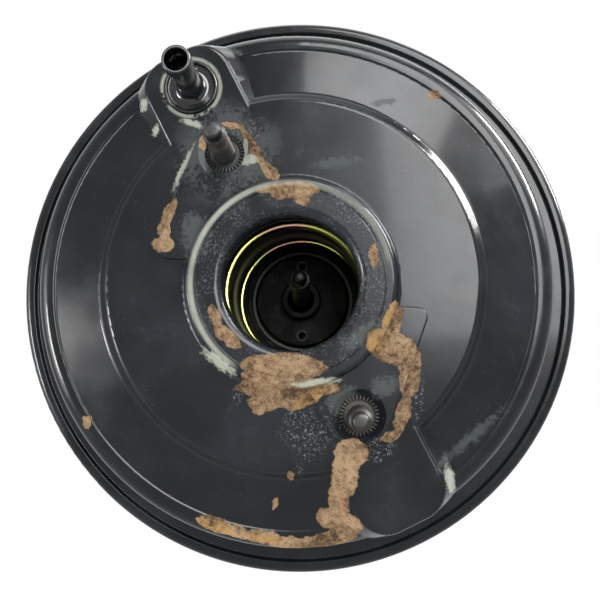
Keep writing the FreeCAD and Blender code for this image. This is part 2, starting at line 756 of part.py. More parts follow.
def diaphragm_plate():
    rear = PLATE_FRONT_Y + PLATE_T
    path = [
        (TUBE_R + TOUCH_GAP, PLATE_FRONT_Y),
        (PLATE_FLAT_R, PLATE_FRONT_Y, PLATE_BEND_R),
        (PLATE_CONE_R, PLATE_FRONT_Y - PLATE_CONE_DEPTH, PLATE_CONE_BEND_R),
        (PLATE_EDGE_R - PLATE_T, rear - PLATE_EDGE_DEPTH - PLATE_T),
    ]
    return sheet(path, PLATE_T)


def rear_spring_seat():
    """Pressed ring that centres the spring's last coil on the diaphragm plate."""
    inner = HUB_FLANGE_R + TOUCH_GAP
    path = [
        (inner, PLATE_FRONT_Y - 4.0),
        (inner, PLATE_FRONT_Y, 1.6),
        (SPRING_R + SPRING_WIRE_R + 2.0, PLATE_FRONT_Y),
    ]
    return sheet(path, -SEAT_T)


def front_spring_seat():
    outer = SPRING_R + SPRING_WIRE_R + SEAT_T + 0.4
    path = [
        (PILOT_R + LIP_R + TOUCH_GAP, FRONT_SEAT_Y),
        (outer, FRONT_SEAT_Y, 1.6),
        (outer, FRONT_SEAT_Y + SEAT_WALL),
    ]
    return sheet(path, SEAT_T)


def end_rise(wire):
    """How far a closed end turn climbs, so that it just clears itself."""
    return 2 * wire + TOUCH_GAP


def spring(radius, wire, pitch, y0, y1, phase, stations, sides):
    """A coil spring between two planes, with one closed turn at each end and a many-sided wire."""
    height = y1 - y0 - 2 * wire
    closed = end_rise(wire)
    turns = (height - 2 * closed) / pitch + 2
    steps = round(turns * stations)
    points = []
    for i in range(steps + 1):
        turn = turns * i / steps
        if turn <= 1:
            rise = closed * turn
        elif turn >= turns - 1:
            rise = height - closed * (turns - turn)
        else:
            rise = closed + pitch * (turn - 1)
        angle = math.radians(phase + 360 * turn)
        points.append(Vector(radius * math.cos(angle), y0 + wire + rise, -radius * math.sin(angle)))
    line = Part.makePolygon(points)
    circle = Part.makeCircle(wire, points[0], points[1] - points[0])
    corners = [circle.valueAt(2 * math.pi * i / sides) for i in range(sides)]
    section = Part.makePolygon(corners + corners[:1])
    return line.makePipeShell([section], True, True, 1)


def return_spring():
    """Its first coil after the closed turn passes the left side at the depth seen through the pilot hole."""
    depth = FACE_Y + SPRING_LEFT_DEPTH - SPRING_FRONT_Y - SPRING_WIRE_R - end_rise(SPRING_WIRE_R)
    phase = 180 - 360 * (1 + depth / SPRING_PITCH)
    return spring(SPRING_R, SPRING_WIRE_R, SPRING_PITCH, SPRING_FRONT_Y, SPRING_REAR_Y, phase, 18, 8)


def reaction_cup():
    """Cup for the reaction disc, with the ball socket of the output rod in its boss."""
    shoulder = HUB_FACE_Y
    socket = BALL_R + SOCKET_GAP
    cup = turned([
        (0, shoulder - CUP_BOSS),
        (CUP_BOSS_R, shoulder - CUP_BOSS, 0.8),
        (CUP_BOSS_R, shoulder),
        (CUP_BORE_R - 0.2, shoulder),
        (CUP_BORE_R - 0.2, BORE_FLOOR_Y - 0.4),
        (REACTION_R + TOUCH_GAP, BORE_FLOOR_Y - 0.4),
        (REACTION_R + TOUCH_GAP, BORE_FLOOR_Y - REACTION_T - TOUCH_GAP),
        (0, BORE_FLOOR_Y - REACTION_T - TOUCH_GAP),
    ])
    ball = Part.makeSphere(socket, Vector(0, BALL_Y, 0))
    throat = 0.78 * BALL_R
    depth = math.sqrt(socket ** 2 - throat ** 2)
    front = shoulder - CUP_BOSS
    mouth = Part.makeCone(MOUTH_R, throat, BALL_Y - depth - front + 0.01, Vector(0, front - 0.01, 0), AXIS)
    return cup.cut([ball, mouth])


def reaction_disc():
    return turned([
        (0, BORE_FLOOR_Y - REACTION_T),
        (REACTION_R, BORE_FLOOR_Y - REACTION_T, 0.5),
        (REACTION_R, BORE_FLOOR_Y - TOUCH_GAP, 0.5),
        (0, BORE_FLOOR_Y - TOUCH_GAP),
    ])


def output_rod_retainer():
    """Pressed cap over the hub that keeps the cup in its bore."""
    inner_y = HUB_FACE_Y - 0.05
    path = [
        (HUB_R + 0.05, PLATE_FRONT_Y - HUB_FLANGE_T - 0.3),
        (HUB_R + 0.05, inner_y, 0.7),
        (CUP_BOSS_R + 0.3, inner_y),
    ]
    cap = sheet(path, RETAINER_CAP_T)
    for side in (1, -1):
        cap = cap.cut(rod_at(0, side * PASSAGE_RADIUS_OUT, PASSAGE_R + 0.4, inner_y - 2, inner_y + 1))
    return cap


def leaned(shape):
    """Turns the output rod about its ball to the place where it rests in the photo."""
    hinge = Vector(LEAN_Z, 0, -LEAN_X)
    return shape.rotated(Vector(0, BALL_Y, 0), hinge, -ROD_LEAN)


def output_rod():
    bore = TIP_STEM_R + 0.05
    shaft = turned([
        (bore, ROD_END_Y),
        (ROD_R, ROD_END_Y, 0.5),
        (ROD_R, BALL_Y - BALL_R - 5.0, 1.0),
        (ROD_NECK_R, BALL_Y - BALL_R - 3.0, 1.0),
        (ROD_NECK_R, BALL_Y),
        (0, BALL_Y),
        (0, ROD_END_Y + TIP_STEM + 1.0),
        (bore, ROD_END_Y + TIP_STEM + 0.3),
    ])
    ball = Part.makeSphere(BALL_R, Vector(0, BALL_Y, 0))
    return leaned(shaft.fuse(ball).removeSplitter())


def output_rod_tip():
    tip = turned([
        (0, ROD_END_Y - TIP_LENGTH),
        (TIP_R, ROD_END_Y - TIP_LENGTH, TIP_R * 0.8),
        (TIP_R, ROD_END_Y),
        (TIP_STEM_R, ROD_END_Y),
        (TIP_STEM_R, ROD_END_Y + TIP_STEM, 0.4),
        (0, ROD_END_Y + TIP_STEM),
    ])
    return leaned(tip)


def stop_key():
    slot = GROOVE_R + BODY_GAP
    plate = standing([
        (-KEY_HALF_LENGTH, -KEY_HALF_WIDTH, 2.0),
        (KEY_HALF_LENGTH, -KEY_HALF_WIDTH, 1.0),
        (KEY_HALF_LENGTH, -slot, 0),
        (-slot, -slot, slot * 0.98),
        (-slot, slot, slot * 0.98),
        (KEY_HALF_LENGTH, slot, 0),
        (KEY_HALF_LENGTH, KEY_HALF_WIDTH, 1.0),
        (-KEY_HALF_LENGTH, KEY_HALF_WIDTH, 2.0),
    ], KEY_Y, KEY_Y + KEY_T)
    return plate


def poppet_valve():
    rear = RETAINER_Y - 1.3
    path = [
        (POPPET_HOLE_R, POPPET_Y),
        (POPPET_R, POPPET_Y, 0.8),
        (POPPET_R, POPPET_Y + POPPET_SKIRT, 0.5),
        (CHAMBER_R - 1.6, POPPET_Y + POPPET_SKIRT + 2.0, 0.5),
        (CHAMBER_R - 1.6, rear - 4.0),
    ]
    sleeve = sheet(path, 1.0)
    face = ring(POPPET_HOLE_R, POPPET_R - 0.4, POPPET_Y + 0.4, POPPET_Y + POPPET_T)
    bead = ring(CHAMBER_R - 2.7, CHAMBER_R - TOUCH_GAP, rear - 4.5, rear, 0.4)
    return sleeve.fuse([face, bead]).removeSplitter()


def poppet_insert():
    y0 = POPPET_Y + POPPET_T
    return ring(POPPET_HOLE_R + 0.6, POPPET_R - 1.4, y0, y0 + INSERT_T, 0.2)


def poppet_retainer():
    """Pressed sleeve that holds the poppet's bead and seats both small springs."""
    sleeve_r = CHAMBER_R - 2.8
    rear = RETAINER_Y
    return turned([
        (sleeve_r - RETAINER_T, rear - RETAINER_LENGTH),
        (sleeve_r, rear - RETAINER_LENGTH),
        (sleeve_r, rear - RETAINER_RIM),
        (CHAMBER_R - 0.05, rear - RETAINER_RIM),
        (CHAMBER_R - 0.05, rear, 0.3),
        (sleeve_r - 3.2, rear, 0.2),
        (sleeve_r - 3.2, rear - RETAINER_RIM, 0.2),
        (sleeve_r - RETAINER_T, rear - RETAINER_RIM),
    ])


def poppet_spring():
    y0 = POPPET_Y + POPPET_T + INSERT_T
    return spring(POPPET_SPRING_R, POPPET_WIRE_R, POPPET_PITCH, y0, RETAINER_Y - RETAINER_RIM, 0, 12, 6)


def rod_return_spring():
    return spring(ROD_SPRING_R, ROD_WIRE_R, ROD_PITCH, RETAINER_Y, ROD_SEAT_Y, 90, 12, 6)


def silencer_felt():
    return ring(INPUT_ROD_R + 0.4, CHAMBER_R - TOUCH_GAP, FELT_Y, FELT_Y + FELT_T, 0.5)


def air_filter():
    y0 = FELT_Y + FELT_T + TOUCH_GAP
    return ring(INPUT_ROD_R + 0.4, CHAMBER_R - TOUCH_GAP, y0, y0 + FILTER_T, 0.8)


# Valve plunger and input rod

def plunger():
    stem = GUIDE_R - RUN_FIT
    head_end = PLUNGER_HEAD_Y + PLUNGER_HEAD_T
    body = turned([
        (0, PLUNGER_FRONT_Y),
        (stem, PLUNGER_FRONT_Y, 0.5),
        (stem, GROOVE_FRONT_Y),
        (GROOVE_R, GROOVE_FRONT_Y, 0.3),
        (GROOVE_R, GROOVE_FRONT_Y + GROOVE_LENGTH, 0.3),
        (stem, GROOVE_FRONT_Y + GROOVE_LENGTH),
        (stem, PLUNGER_HEAD_Y),
        (PLUNGER_HEAD_R, PLUNGER_HEAD_Y, 0.4),
        (PLUNGER_HEAD_R, head_end, 0.6),
        (PLUNGER_HEAD_R - 1.4, head_end, 0.3),
        (PLUNGER_HEAD_R - 1.8, head_end - 0.8),
        (0, head_end - 0.8),
    ])
    socket = Part.makeSphere(INPUT_BALL_R + 0.05, Vector(0, INPUT_BALL_Y, 0))
    throat = Part.makeCone(INPUT_NECK_R + 0.4, INPUT_NECK_R + 1.4, head_end - INPUT_BALL_Y,
                           Vector(0, INPUT_BALL_Y, 0), AXIS)
    return body.cut([socket, throat])


def input_rod():
    shaft = turned([
        (0, INPUT_BALL_Y),
        (INPUT_NECK_R, INPUT_BALL_Y),
        (INPUT_NECK_R, INPUT_ROD_START_Y - 1.5, 0.6),
        (INPUT_ROD_R, INPUT_ROD_START_Y, 0.6),
        (INPUT_ROD_R, INPUT_ROD_END_Y, 1.0),
        (0, INPUT_ROD_END_Y),
    ])
    ball = Part.makeSphere(INPUT_BALL_R, Vector(0, INPUT_BALL_Y, 0))
    return shaft.fuse(ball).removeSplitter()


def rod_spring_seat():
    path = [
        (INPUT_ROD_R + 0.05, ROD_SEAT_Y + 0.6),
        (INPUT_ROD_R + 1.4, ROD_SEAT_Y, 0.6),
        (CHAMBER_R - 1.4, ROD_SEAT_Y),
    ]
    return sheet(path, 1.0)


def hexagon(flats, y0, y1, hole):
    corner = flats / math.sqrt(3)
    points = []
    for i in range(6):
        angle = math.radians(60 * i)
        points.append((corner * math.cos(angle), corner * math.sin(angle)))
    prism = standing(points, y0, y1)
    chamfer = turned([
        (0, y0),
        (flats / 2, y0),
        (corner + 0.4, y0 + 1.1),
        (corner + 0.4, y1 - 1.1),
        (flats / 2, y1),
        (0, y1),
    ])
    return prism.common(chamfer).cut(rod_at(0, 0, hole, y0 - 1, y1 + 1))


def lock_nut():
    return hexagon(NUT_FLATS, CLEVIS_Y - NUT_T - TOUCH_GAP, CLEVIS_Y - TOUCH_GAP, INPUT_ROD_R)


def clevis():
    """Fork with two ears, rounded about the bore of the pedal's pin."""
    half_w = CLEVIS_WIDTH / 2
    half_h = CLEVIS_HEIGHT / 2
    end = CLEVIS_PIN_Y + half_h
    side = outline_face([
        (CLEVIS_Y, -half_h, 2.0),
        (end, -half_h, half_h * 0.99),
        (end, half_h, half_h * 0.99),
        (CLEVIS_Y, half_h, 2.0),
    ])
    side.rotate(ORIGIN, Vector(0, 0, 1), 90)
    side.rotate(ORIGIN, AXIS, 90)
    side.translate(Vector(-half_w, 0, 0))
    fork = side.extrude(Vector(CLEVIS_WIDTH, 0, 0))
    slot_y = CLEVIS_Y + CLEVIS_BASE
    half_slot = CLEVIS_SLOT / 2
    slot = standing([(-half_slot, -half_h - 1), (half_slot, -half_h - 1),
                     (half_slot, half_h + 1), (-half_slot, half_h + 1)], slot_y, end + 1)
    pin = Part.makeCylinder(CLEVIS_PIN_R, CLEVIS_WIDTH + 2, Vector(-half_w - 1, CLEVIS_PIN_Y, 0), Vector(1, 0, 0))
    bore = rod_at(0, 0, INPUT_ROD_R, CLEVIS_Y - 1, slot_y + 1)
    return fork.cut([slot, pin, bore])


def dust_boot():
    """Bellows from the neck to the end of the valve body, with the air inlet round the rod."""
    path = [(NECK_R + TOUCH_GAP, BOOT_START_Y), (NECK_R + TOUCH_GAP, BOOT_START_Y + BOOT_CUFF, 0.8)]
    y = BOOT_START_Y + BOOT_CUFF + 3.9
    for i in range(BOOT_FOLDS):
        path.append((BOOT_OUTER_R - BOOT_TAPER * i, y, 0.9))
        path.append((BOOT_INNER_R - BOOT_TAPER * i, y + BOOT_FOLD_PITCH / 2, 0.9))
        y += BOOT_FOLD_PITCH
    cuff = TUBE_R + BODY_GAP
    path.append((cuff, y - 0.6, 0.6))
    path.append((cuff, TUBE_END_Y + BODY_GAP, 0.6))
    path.append((BOOT_HOLE_R, TUBE_END_Y + BODY_GAP))
    return sheet(path, -BOOT_T)


PIECES = (
    front_shell,
    rear_shell,
    front_reinforcement_plate,
    rear_reinforcement_plate,
    master_cylinder_studs,
    firewall_studs,
    vacuum_pipe,
    pipe_backing_ring,
    firewall_gasket,
    neck_seal_retainer,
    neck_seal,
    neck_bearing,
    diaphragm,
    dust_boot,
    return_spring,
    front_spring_seat,
    valve_body,
    diaphragm_plate,
    rear_spring_seat,
    reaction_disc,
    reaction_cup,
    output_rod_retainer,
    output_rod,
    output_rod_tip,
    stop_key,
    poppet_valve,
    poppet_insert,
    poppet_retainer,
    poppet_spring,
    silencer_felt,
    air_filter,
    plunger,
    input_rod,
    rod_spring_seat,
    rod_return_spring,
    lock_nut,
    clevis,
)

os.makedirs("parts", exist_ok=True)
for piece in PIECES:
    shape = piece()
    shape.exportStep("parts/" + piece.__name__ + ".step")
    box = shape.BoundBox
    print(piece.__name__, len(shape.Solids), shape.isValid(), round(shape.Volume, 1),
          round(box.YMin, 2), round(box.YMax, 2), round(box.XMax, 2))
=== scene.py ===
import math
from types import SimpleNamespace

import bpy
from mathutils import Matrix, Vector


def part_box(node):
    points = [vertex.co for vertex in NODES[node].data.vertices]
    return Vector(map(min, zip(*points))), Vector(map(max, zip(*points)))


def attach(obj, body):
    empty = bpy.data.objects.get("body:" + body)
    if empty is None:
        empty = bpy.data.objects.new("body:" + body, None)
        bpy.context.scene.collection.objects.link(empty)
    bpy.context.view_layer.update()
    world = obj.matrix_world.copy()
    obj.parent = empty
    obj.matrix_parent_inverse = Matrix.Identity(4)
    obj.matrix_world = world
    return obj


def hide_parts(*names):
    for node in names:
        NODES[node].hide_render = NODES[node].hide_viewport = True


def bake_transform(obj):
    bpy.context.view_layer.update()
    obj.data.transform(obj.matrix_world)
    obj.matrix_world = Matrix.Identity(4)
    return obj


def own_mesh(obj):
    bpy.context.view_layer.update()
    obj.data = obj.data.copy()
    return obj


bl_info = {
    "name": "Vacuum brake booster",
    "version": (1, 0, 0),
    "blender": (4, 5, 0),
    "location": "3D View > Sidebar > Booster",
    "description": "Builds the springs, studs, boot and finishes of a vacuum brake booster round its solids",
    "category": "Object",
}

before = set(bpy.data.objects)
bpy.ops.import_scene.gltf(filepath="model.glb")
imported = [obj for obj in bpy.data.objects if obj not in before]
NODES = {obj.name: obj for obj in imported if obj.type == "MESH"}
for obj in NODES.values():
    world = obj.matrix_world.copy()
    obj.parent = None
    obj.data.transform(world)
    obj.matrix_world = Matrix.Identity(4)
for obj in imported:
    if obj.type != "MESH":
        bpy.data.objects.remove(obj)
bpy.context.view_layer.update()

MM = 0.001

# Places and travels, in mm: y runs from the front to the rear, and the front studs and the pipe lie on one
# line that leans by this angle
STUD_LINE = math.radians(117.0)
STUD_OUT = 54.0
PIPE_OUT = 82.7
FRONT_Y = -112.0
REAR_Y = -2.0

# Master cylinder's studs with their collars, and firewall studs with their heads, in mm
STUD_R = 4.0
STUD_POINT_R = 2.8
STUD_POINT = 3.0
COLLAR_TEETH = 32
COLLAR_DROP = 3.3
COLLAR_BORE_R = 3.2
COLLAR_SEAT_R = 5.8
COLLAR_R = 7.4
TOOTH_DEPTH = 0.62
HEAD_R = 8.6
HEAD_THICK = 3.4
FIREWALL_HALF_X = 40.0
FIREWALL_HALF_Z = 30.0
FIREWALL_HEAD_R = 7.5
FIREWALL_HEAD_THICK = 2.6
FIREWALL_HEAD_EDGE = 0.8
FIREWALL_SHOULDER_R = 5.0
FIREWALL_BORE_R = 3.0

# Springs, in mm. The coil that shows at the left of the pilot hole lies at the seen depth
SPRING_R = 28.5
SPRING_FRONT_Y = -109.0
SPRING_REAR_Y = -14.6
SEEN_COIL_DEPTH = 38.0
COIL_GAP = 0.1
POPPET_SPRING_R = 10.2
POPPET_SPRING_WIRE = 0.45
POPPET_SPRING_PITCH = 3.4
POPPET_SPRING_FRONT_Y = 18.4
POPPET_SPRING_REAR_Y = 32.2
ROD_SPRING_R = 11.0
ROD_SPRING_WIRE = 0.7
ROD_SPRING_PITCH = 4.2
ROD_SPRING_FRONT_Y = 33.4
ROD_SPRING_REAR_Y = 49.0

# Dust boot, in mm: its cuff on the neck, its folds, and its cap, which moves with the power piston
BOOT_FRONT_Y = 4.0
BOOT_CUFF_R = 26.4
BOOT_BEAD_R = 26.9
BOOT_FOLDS = 4
BOOT_FOLD_HEIGHT = 3.1
BOOT_FOLD_FRONT_Y = 12.6
BOOT_FOLD_REAR_Y = 53.5
BOOT_TAPER = 1.9
BOOT_CAP_R = 21.2
BOOT_CAP_INSIDE_R = 19.8
BOOT_CAP_Y = 54.6
BOOT_REAR_Y = 63.6
BOOT_BORE_R = 9.0

# Diaphragm, in mm: its lip, web, roll and bead
DIAPHRAGM_BORE_R = 19.9
DIAPHRAGM_LIP_R = 24.5
DIAPHRAGM_LIP_Y = -8.5
WEB_FRONT_Y = -11.7
WEB_REAR_Y = -10.1
BEAD_INNER_R = 102.2
BEAD_OUTER_R = 110.0
BEAD_FRONT_Y = -72.0
BEAD_REAR_Y = -66.4
MOULD_EDGE = 0.8

# Input rod, in mm: its ball, neck, shank and thread, all turned from just off the axis
ROD_FRONT_Y = 5.7
ROD_BALL_R = 4.6
ROD_BALL_Y = 10.2
ROD_NECK_R = 3.4
ROD_NECK_Y = (13.4, 17.0)
ROD_R = 5.0
ROD_SHANK_Y = 18.5
ROD_THREAD_Y = 72.0
ROD_THREAD_DEPTH = 0.8
ROD_POINT_R = 4.0
ROD_POINT = 0.6
ROD_AXIS_R = 0.01

# Rings and depths of wear, and the depths of the painted shade on the spring's deeper coils, in metres: where
# each starts and ends
WEAR_FADE_Y = (-0.094, -0.080)
PIPE_RING = (0.0102, 0.0116)
PIPE_LIP = (0.00440, 0.00465)
PIPE_LIP_Y = (-0.1366, -0.1359)
STUD_DIRT = (0.012, 0.024)
PILOT_LIP = (0.0226, 0.0236)
BOSS_FACE = (0.0225, 0.0350)
BOSS_EDGE = (0.0354, 0.0372)
BOSS_DUST = (0.040, 0.075)
PINK_COILS_Y = (-0.100, -0.095)
# Painted shade: between these depths the return spring's coils are darkened to stand in for the shadow inside
# the shell
SHADED_COILS_START_Y = (-0.070, -0.060)
SHADED_COILS_END_Y = (-0.030, -0.022)
RAGGED_EDGE = 0.0042
PAINT_THICK = 0.00014
PIT_DEPTH = 0.00022
SCUFF_DEPTH = 0.00008

# The boss's chalky edge is spared round this direction
SPARED_ANGLE = math.radians(-57.0)

# Stage and camera, in metres, with the lens and sensor in mm, and the world's strength where it isn't seen
FLOOR_HALF = 6.0
SOFT_WORLD = 0.55
CAMERA_PLACE = (0.0181, -0.4088, -0.0299)
CAMERA_TURN = (math.radians(94.47), 0, math.radians(2.81))
CAMERA_LENS = 49.8
SENSOR_WIDTH = 36.0

# Lamps: place, target, width and height in metres, power in watts, and whether it only lights the gloss
LAMPS = {
    "upper_right_light": ((0.9, -0.7, 0.9), (0, -0.06, 0), 0.8, 0.8, 14, False),
    "lower_left_light": ((-1.0, -0.5, -0.25), (0, -0.08, -0.05), 0.5, 0.9, 9, False),
    "top_light": ((0.0, 0.2, 1.3), (0, -0.05, 0), 1.2, 1.2, 10, False),
    "back_light": ((0.3, 1.2, 0.5), (0, 0, 0), 0.9, 0.9, 10, False),
    "sheen_panel": ((0.68, -2.40, 1.2), (0, -0.1, 0), 1.2, 2.5, 165, True),
    "left_strip": ((-1.3, -1.0, -0.65), (0, -0.1, 0), 0.3, 1.5, 90, True),
    "right_strip": ((1.4, -0.1, 1.0), (0, -0.1, 0), 0.5, 0.8, 90, True),
}

# A distance past every worn place, counted in the place's own half sizes
FARTHEST = 9.0

# Worn places on the front shell: x, z, half sizes in mm, and turn in degrees
BARE_PLACES = (
    (1.1, 33.4, 9.2, 3.4, 0),
    (-8.4, 33.5, 3.9, 1.2, 8),
    (4.4, 29.5, 3.1, 2.1, -10),
    (30.2, 9.2, 1.6, 4.7, 0),
    (-27.1, -12.6, 4.7, 2.1, -72),
    (-22.6, -19.8, 6.3, 2.5, -42),
    (-45.6, 24.5, 7.6, 2.3, 68),
    (-46.6, 18.4, 4.6, 2.4, 74),
    (-47.2, 14.6, 4.2, 3.2, 0),
    (-2.1, -30.3, 15.6, 4.5, -3),
    (-1.6, -38.0, 18.8, 3.9, 0),
    (-7.0, -34.4, 10.5, 3.2, -5),
    (-6.9, -42.1, 9.0, 3.9, 12),
    (-11.6, -45.4, 2.3, 2.9, 0),
    (5.6, -41.5, 8.3, 3.3, 28),
    (36.5, -14.9, 3.4, 7.7, -12),
    (36.2, -23.6, 9.6, 5.8, -22),
    (42.7, -29.7, 4.1, 8.2, 0),
    (42.6, -35.3, 3.7, 6.5, 0),
    (40.2, -47.1, 8.9, 2.5, 74),
    (35.6, -55.5, 3.7, 2.0, 20),
    (21.9, -61.3, 5.9, 5.3, 0),
    (19.3, -69.5, 9.8, 4.9, 82),
    (17.3, -78.4, 3.7, 7.7, 0),
    (17.3, -86.6, 8.9, 4.3, -12),
    (12.4, -94.0, 12.5, 3.2, 14),
    (-28.4, -88.6, 7.6, 2.8, -20),
    (-11.4, -92.8, 7.3, 2.8, -5),
    (-19.8, -91.2, 4.6, 2.4, -14),
    (-1.6, -95.6, 7.4, 3.2, -4),
    (6.6, -98.6, 9.6, 3.4, 0),
    (-21.4, 58.5, 4.2, 1.7, -12),
    (-14.2, 50.2, 8.1, 2.0, -62),
    (-7.7, 40.9, 4.9, 2.4, -50),
    (-33.0, 51.9, 1.4, 2.8, 0),
    (0.0, -69.7, 1.4, 1.7, 0),
    (-5.9, -80.3, 1.2, 2.5, -15),
    (53.7, 71.8, 2.3, 1.9, 0),
    (-77.0, -51.3, 1.9, 2.6, 0),
)
CHALKY_PLACES = (
    (8.6, -36.2, 9.5, 1.2, 6),
    (-26.3, -28.7, 7.8, 2.0, -36),
    (-39.9, 43.6, 9.4, 1.0, 65),
    (-16.9, 50.3, 1.0, 3.4, -5),
    (-37.4, 60.1, 4.2, 1.5, -20),
    (-56.2, 68.5, 1.9, 2.3, 0),
    (-51.5, 58.4, 1.9, 1.9, 0),
    (57.4, -71.1, 2.0, 5.4, 10),
    (-15.7, 45.6, 3.4, 2.3, 0),
)
ORANGE_PLACES = (
    (34.6, -11.0, 2.5, 6.0, -15),
    (6.8, -42.4, 6.0, 2.7, 35),
    (-28.3, -89.5, 7.3, 1.8, -20),
    (-11.4, -93.6, 6.7, 1.6, -5),
    (30.2, -22.5, 3.3, 5.0, 0),
)
SMEARED_PLACES = (
    (35.2, 68.7, 4.4, 1.1, 10),
    (16.2, 44.3, 8.8, 2.2, 5),
    (-38.8, 45.0, 14.1, 0.5, 69),
    (19.4, -92.5, 9.5, 1.5, 0),
    (-23.6, 90.7, 3.5, 1.5, -20),
    (-19.7, 77.2, 1.1, 1.5, 0),
    (-35.0, 17.5, 5.2, 8.1, 0),
    (-20.6, 49.1, 8.0, 9.0, 20),
    (26.8, -19.3, 7.8, 3.2, 30),
    (64.7, -57.0, 14.5, 2.2, 40),
    (18.8, -42.4, 5.3, 4.6, 0),
    (33.9, -38.1, 5.0, 3.6, 20),
    (19.9, 31.8, 5.8, 2.9, -30),
)
SCRATCHED_PLACES = (
    (8.5, -54.3, 9.0, 8.4, 0),
    (0.7, -53.2, 2.4, 12.0, 8),
    (30.8, -60.1, 5.4, 3.6, 20),
    (45.5, -41.2, 1.8, 8.9, -5),
    (-18.5, -38.9, 1.8, 7.2, -25),
    (31.3, -5.7, 3.3, 8.2, 0),
    (22.7, 25.4, 9.4, 3.9, -42),
    (31.3, 2.0, 2.2, 11.0, 0),
    (-23.3, 51.1, 9.8, 8.7, 0),
    (-18.4, 50.3, 4.1, 8.2, 0),
)


def tint(text):
    """A colour for Blender from its usual six-digit name."""
    channels = [int(text[i:i + 2], 16) / 255 for i in (1, 3, 5)]
    linear = [c / 12.92 if c <= 0.04045 else ((c + 0.055) / 1.055) ** 2.4 for c in channels]
    return (*linear, 1.0)


def on_line(out):
    """A place on the line of studs, as x and z in mm."""
    return out * math.cos(STUD_LINE), out * math.sin(STUD_LINE)


# Sizes and colours

def length_of(name, text, default):
    return bpy.props.FloatProperty(name=name, description=text, default=default * MM, unit="LENGTH",
                                   precision=5)


def colour_of(name, text, default):
    return bpy.props.FloatVectorProperty(name=name, description=text, default=tint(default), size=4,
                                         subtype="COLOR", min=0, max=1)


class BoosterSizes(bpy.types.PropertyGroup):
    thread_pitch: length_of("Thread pitch", "Pitch of the studs' threads", 1.25)
    thread_depth: length_of("Thread depth", "Depth of the studs' threads", 0.68)
    rod_pitch: length_of("Rod thread pitch", "Pitch of the thread on the input rod", 1.5)
    spring_wire: length_of("Spring wire", "Radius of the return spring's wire", 1.9)
    spring_pitch: length_of("Spring pitch", "Distance between the return spring's open coils", 28.0)
    boot_wall: length_of("Boot wall", "Thickness of the dust boot", 1.3)
    peel_depth: length_of("Paint ripple", "Height of the ripple in the paint", 0.02)
    floor_drop: length_of("Floor depth", "How far the floor lies below the axis", 360.0)


class BoosterColours(bpy.types.PropertyGroup):
    paint: colour_of("Paint", "Gloss black paint", "#141619")
    dusty_paint: colour_of("Dusty paint", "Paint under a film of dust", "#3c434d")
    bare_light: colour_of("Light rust", "Lightest colour of the bare places", "#a98f70")
    bare_mid: colour_of("Rust", "Usual colour of the bare places", "#8a7053")
    bare_dark: colour_of("Dark rust", "Deepest colour of the bare places", "#4e3a2a")
    orange: colour_of("Orange rust", "Fresh rust", "#b0853f")
    chalk: colour_of("Corrosion", "Whitish corrosion", "#b9bdae")
    plain_steel: colour_of("Plain steel", "Bare steel of the inner pieces", "#8a8c8e")
    smear: colour_of("Smears", "Dirt and worn paint", "#5d6563")
    scratch: colour_of("Scratches", "Bright marks in the paint", "#a4a9ac")
    zinc: colour_of("Yellow zinc", "Zinc plating of the small parts", "#746d4b")
    wire_green: colour_of("Green zinc", "Usual colour of the return spring", "#d2d870")
    wire_pink: colour_of("Pink zinc", "Colour of the return spring where it is worn", "#cf9f90")
    rubber: colour_of("Rubber", "Black rubber", "#1b1b1c")
    phenolic: colour_of("Valve body", "Moulded black plastic", "#0d0c0c")
    nylon: colour_of("Nylon", "Natural nylon", "#d8d2c0")
    gasket: colour_of("Gasket", "Pressed fibre", "#4a4a46")
    felt: colour_of("Felt", "Grey wool felt", "#9b988f")
    foam: colour_of("Foam", "Open foam of the air filter", "#3c3d3f")
    floor: colour_of("Floor", "Pale studio floor", "#f2f2f2")


def sizes():
    return bpy.context.scene.booster_sizes


def colours():
    return bpy.context.scene.booster_colours


# Shader building

class Level:
    """A number or a vector that varies over a surface. Its operators add Math nodes."""

    def __init__(self, layout, socket):
        self.layout = layout
        self.socket = socket

    def combined(self, operation, first, second=0.0, clamp=False):
        settings = {"operation": operation, "use_clamp": clamp}
        return self.layout.node("ShaderNodeMath", settings, {0: first, 1: second})

    def __add__(self, other):
        return self.combined("ADD", self, other)

    def __radd__(self, other):
        return self.combined("ADD", other, self)

    def __sub__(self, other):
        return self.combined("SUBTRACT", self, other)

    def __rsub__(self, other):
        return self.combined("SUBTRACT", other, self)

    def __mul__(self, other):
        return self.combined("MULTIPLY", self, other)

    def __rmul__(self, other):
        return self.combined("MULTIPLY", other, self)

    def __truediv__(self, other):
        return self.combined("DIVIDE", self, other)

    def __pow__(self, other):
        return self.combined("POWER", self, other)

    def least(self, other):
        return self.combined("MINIMUM", self, other)

    def most(self, other):
        return self.combined("MAXIMUM", self, other)

    def within(self):
        return self.combined("ADD", self, 0.0, True)

    def between(self, low, high):
        """0 at low and 1 at high, with a soft start and end."""
        settings = {"interpolation_type": "SMOOTHSTEP"}
        return self.layout.node("ShaderNodeMapRange", settings,
                                {"Value": self, "From Min": low, "From Max": high})

    def band(self, low, high, soft):
        """1 from low to high, fading out over the soft distance."""
        return self.between(low - soft, low + soft) * (1 - self.between(high - soft, high + soft))


class Layout:
    """A tree of nodes while it is being laid out."""

    def __init__(self, tree):
        self.tree = tree

    def give(self, node, key, value):
        """Sets one socket of a node to a value or a link."""
        if isinstance(value, Level):
            self.tree.links.new(value.socket, node.inputs[key])
        else:
            node.inputs[key].default_value = value

    def add(self, kind, settings=None, values=None):
        """Adds a node: its settings first, then its sockets' values and links."""
        node = self.tree.nodes.new(kind)
        for key, value in (settings or {}).items():
            setattr(node, key, value)
        for key, value in (values or {}).items():
            self.give(node, key, value)
        return node

    def node(self, kind, settings=None, values=None, output=0):
        """One output of a new node."""
        return Level(self, self.add(kind, settings, values).outputs[output])


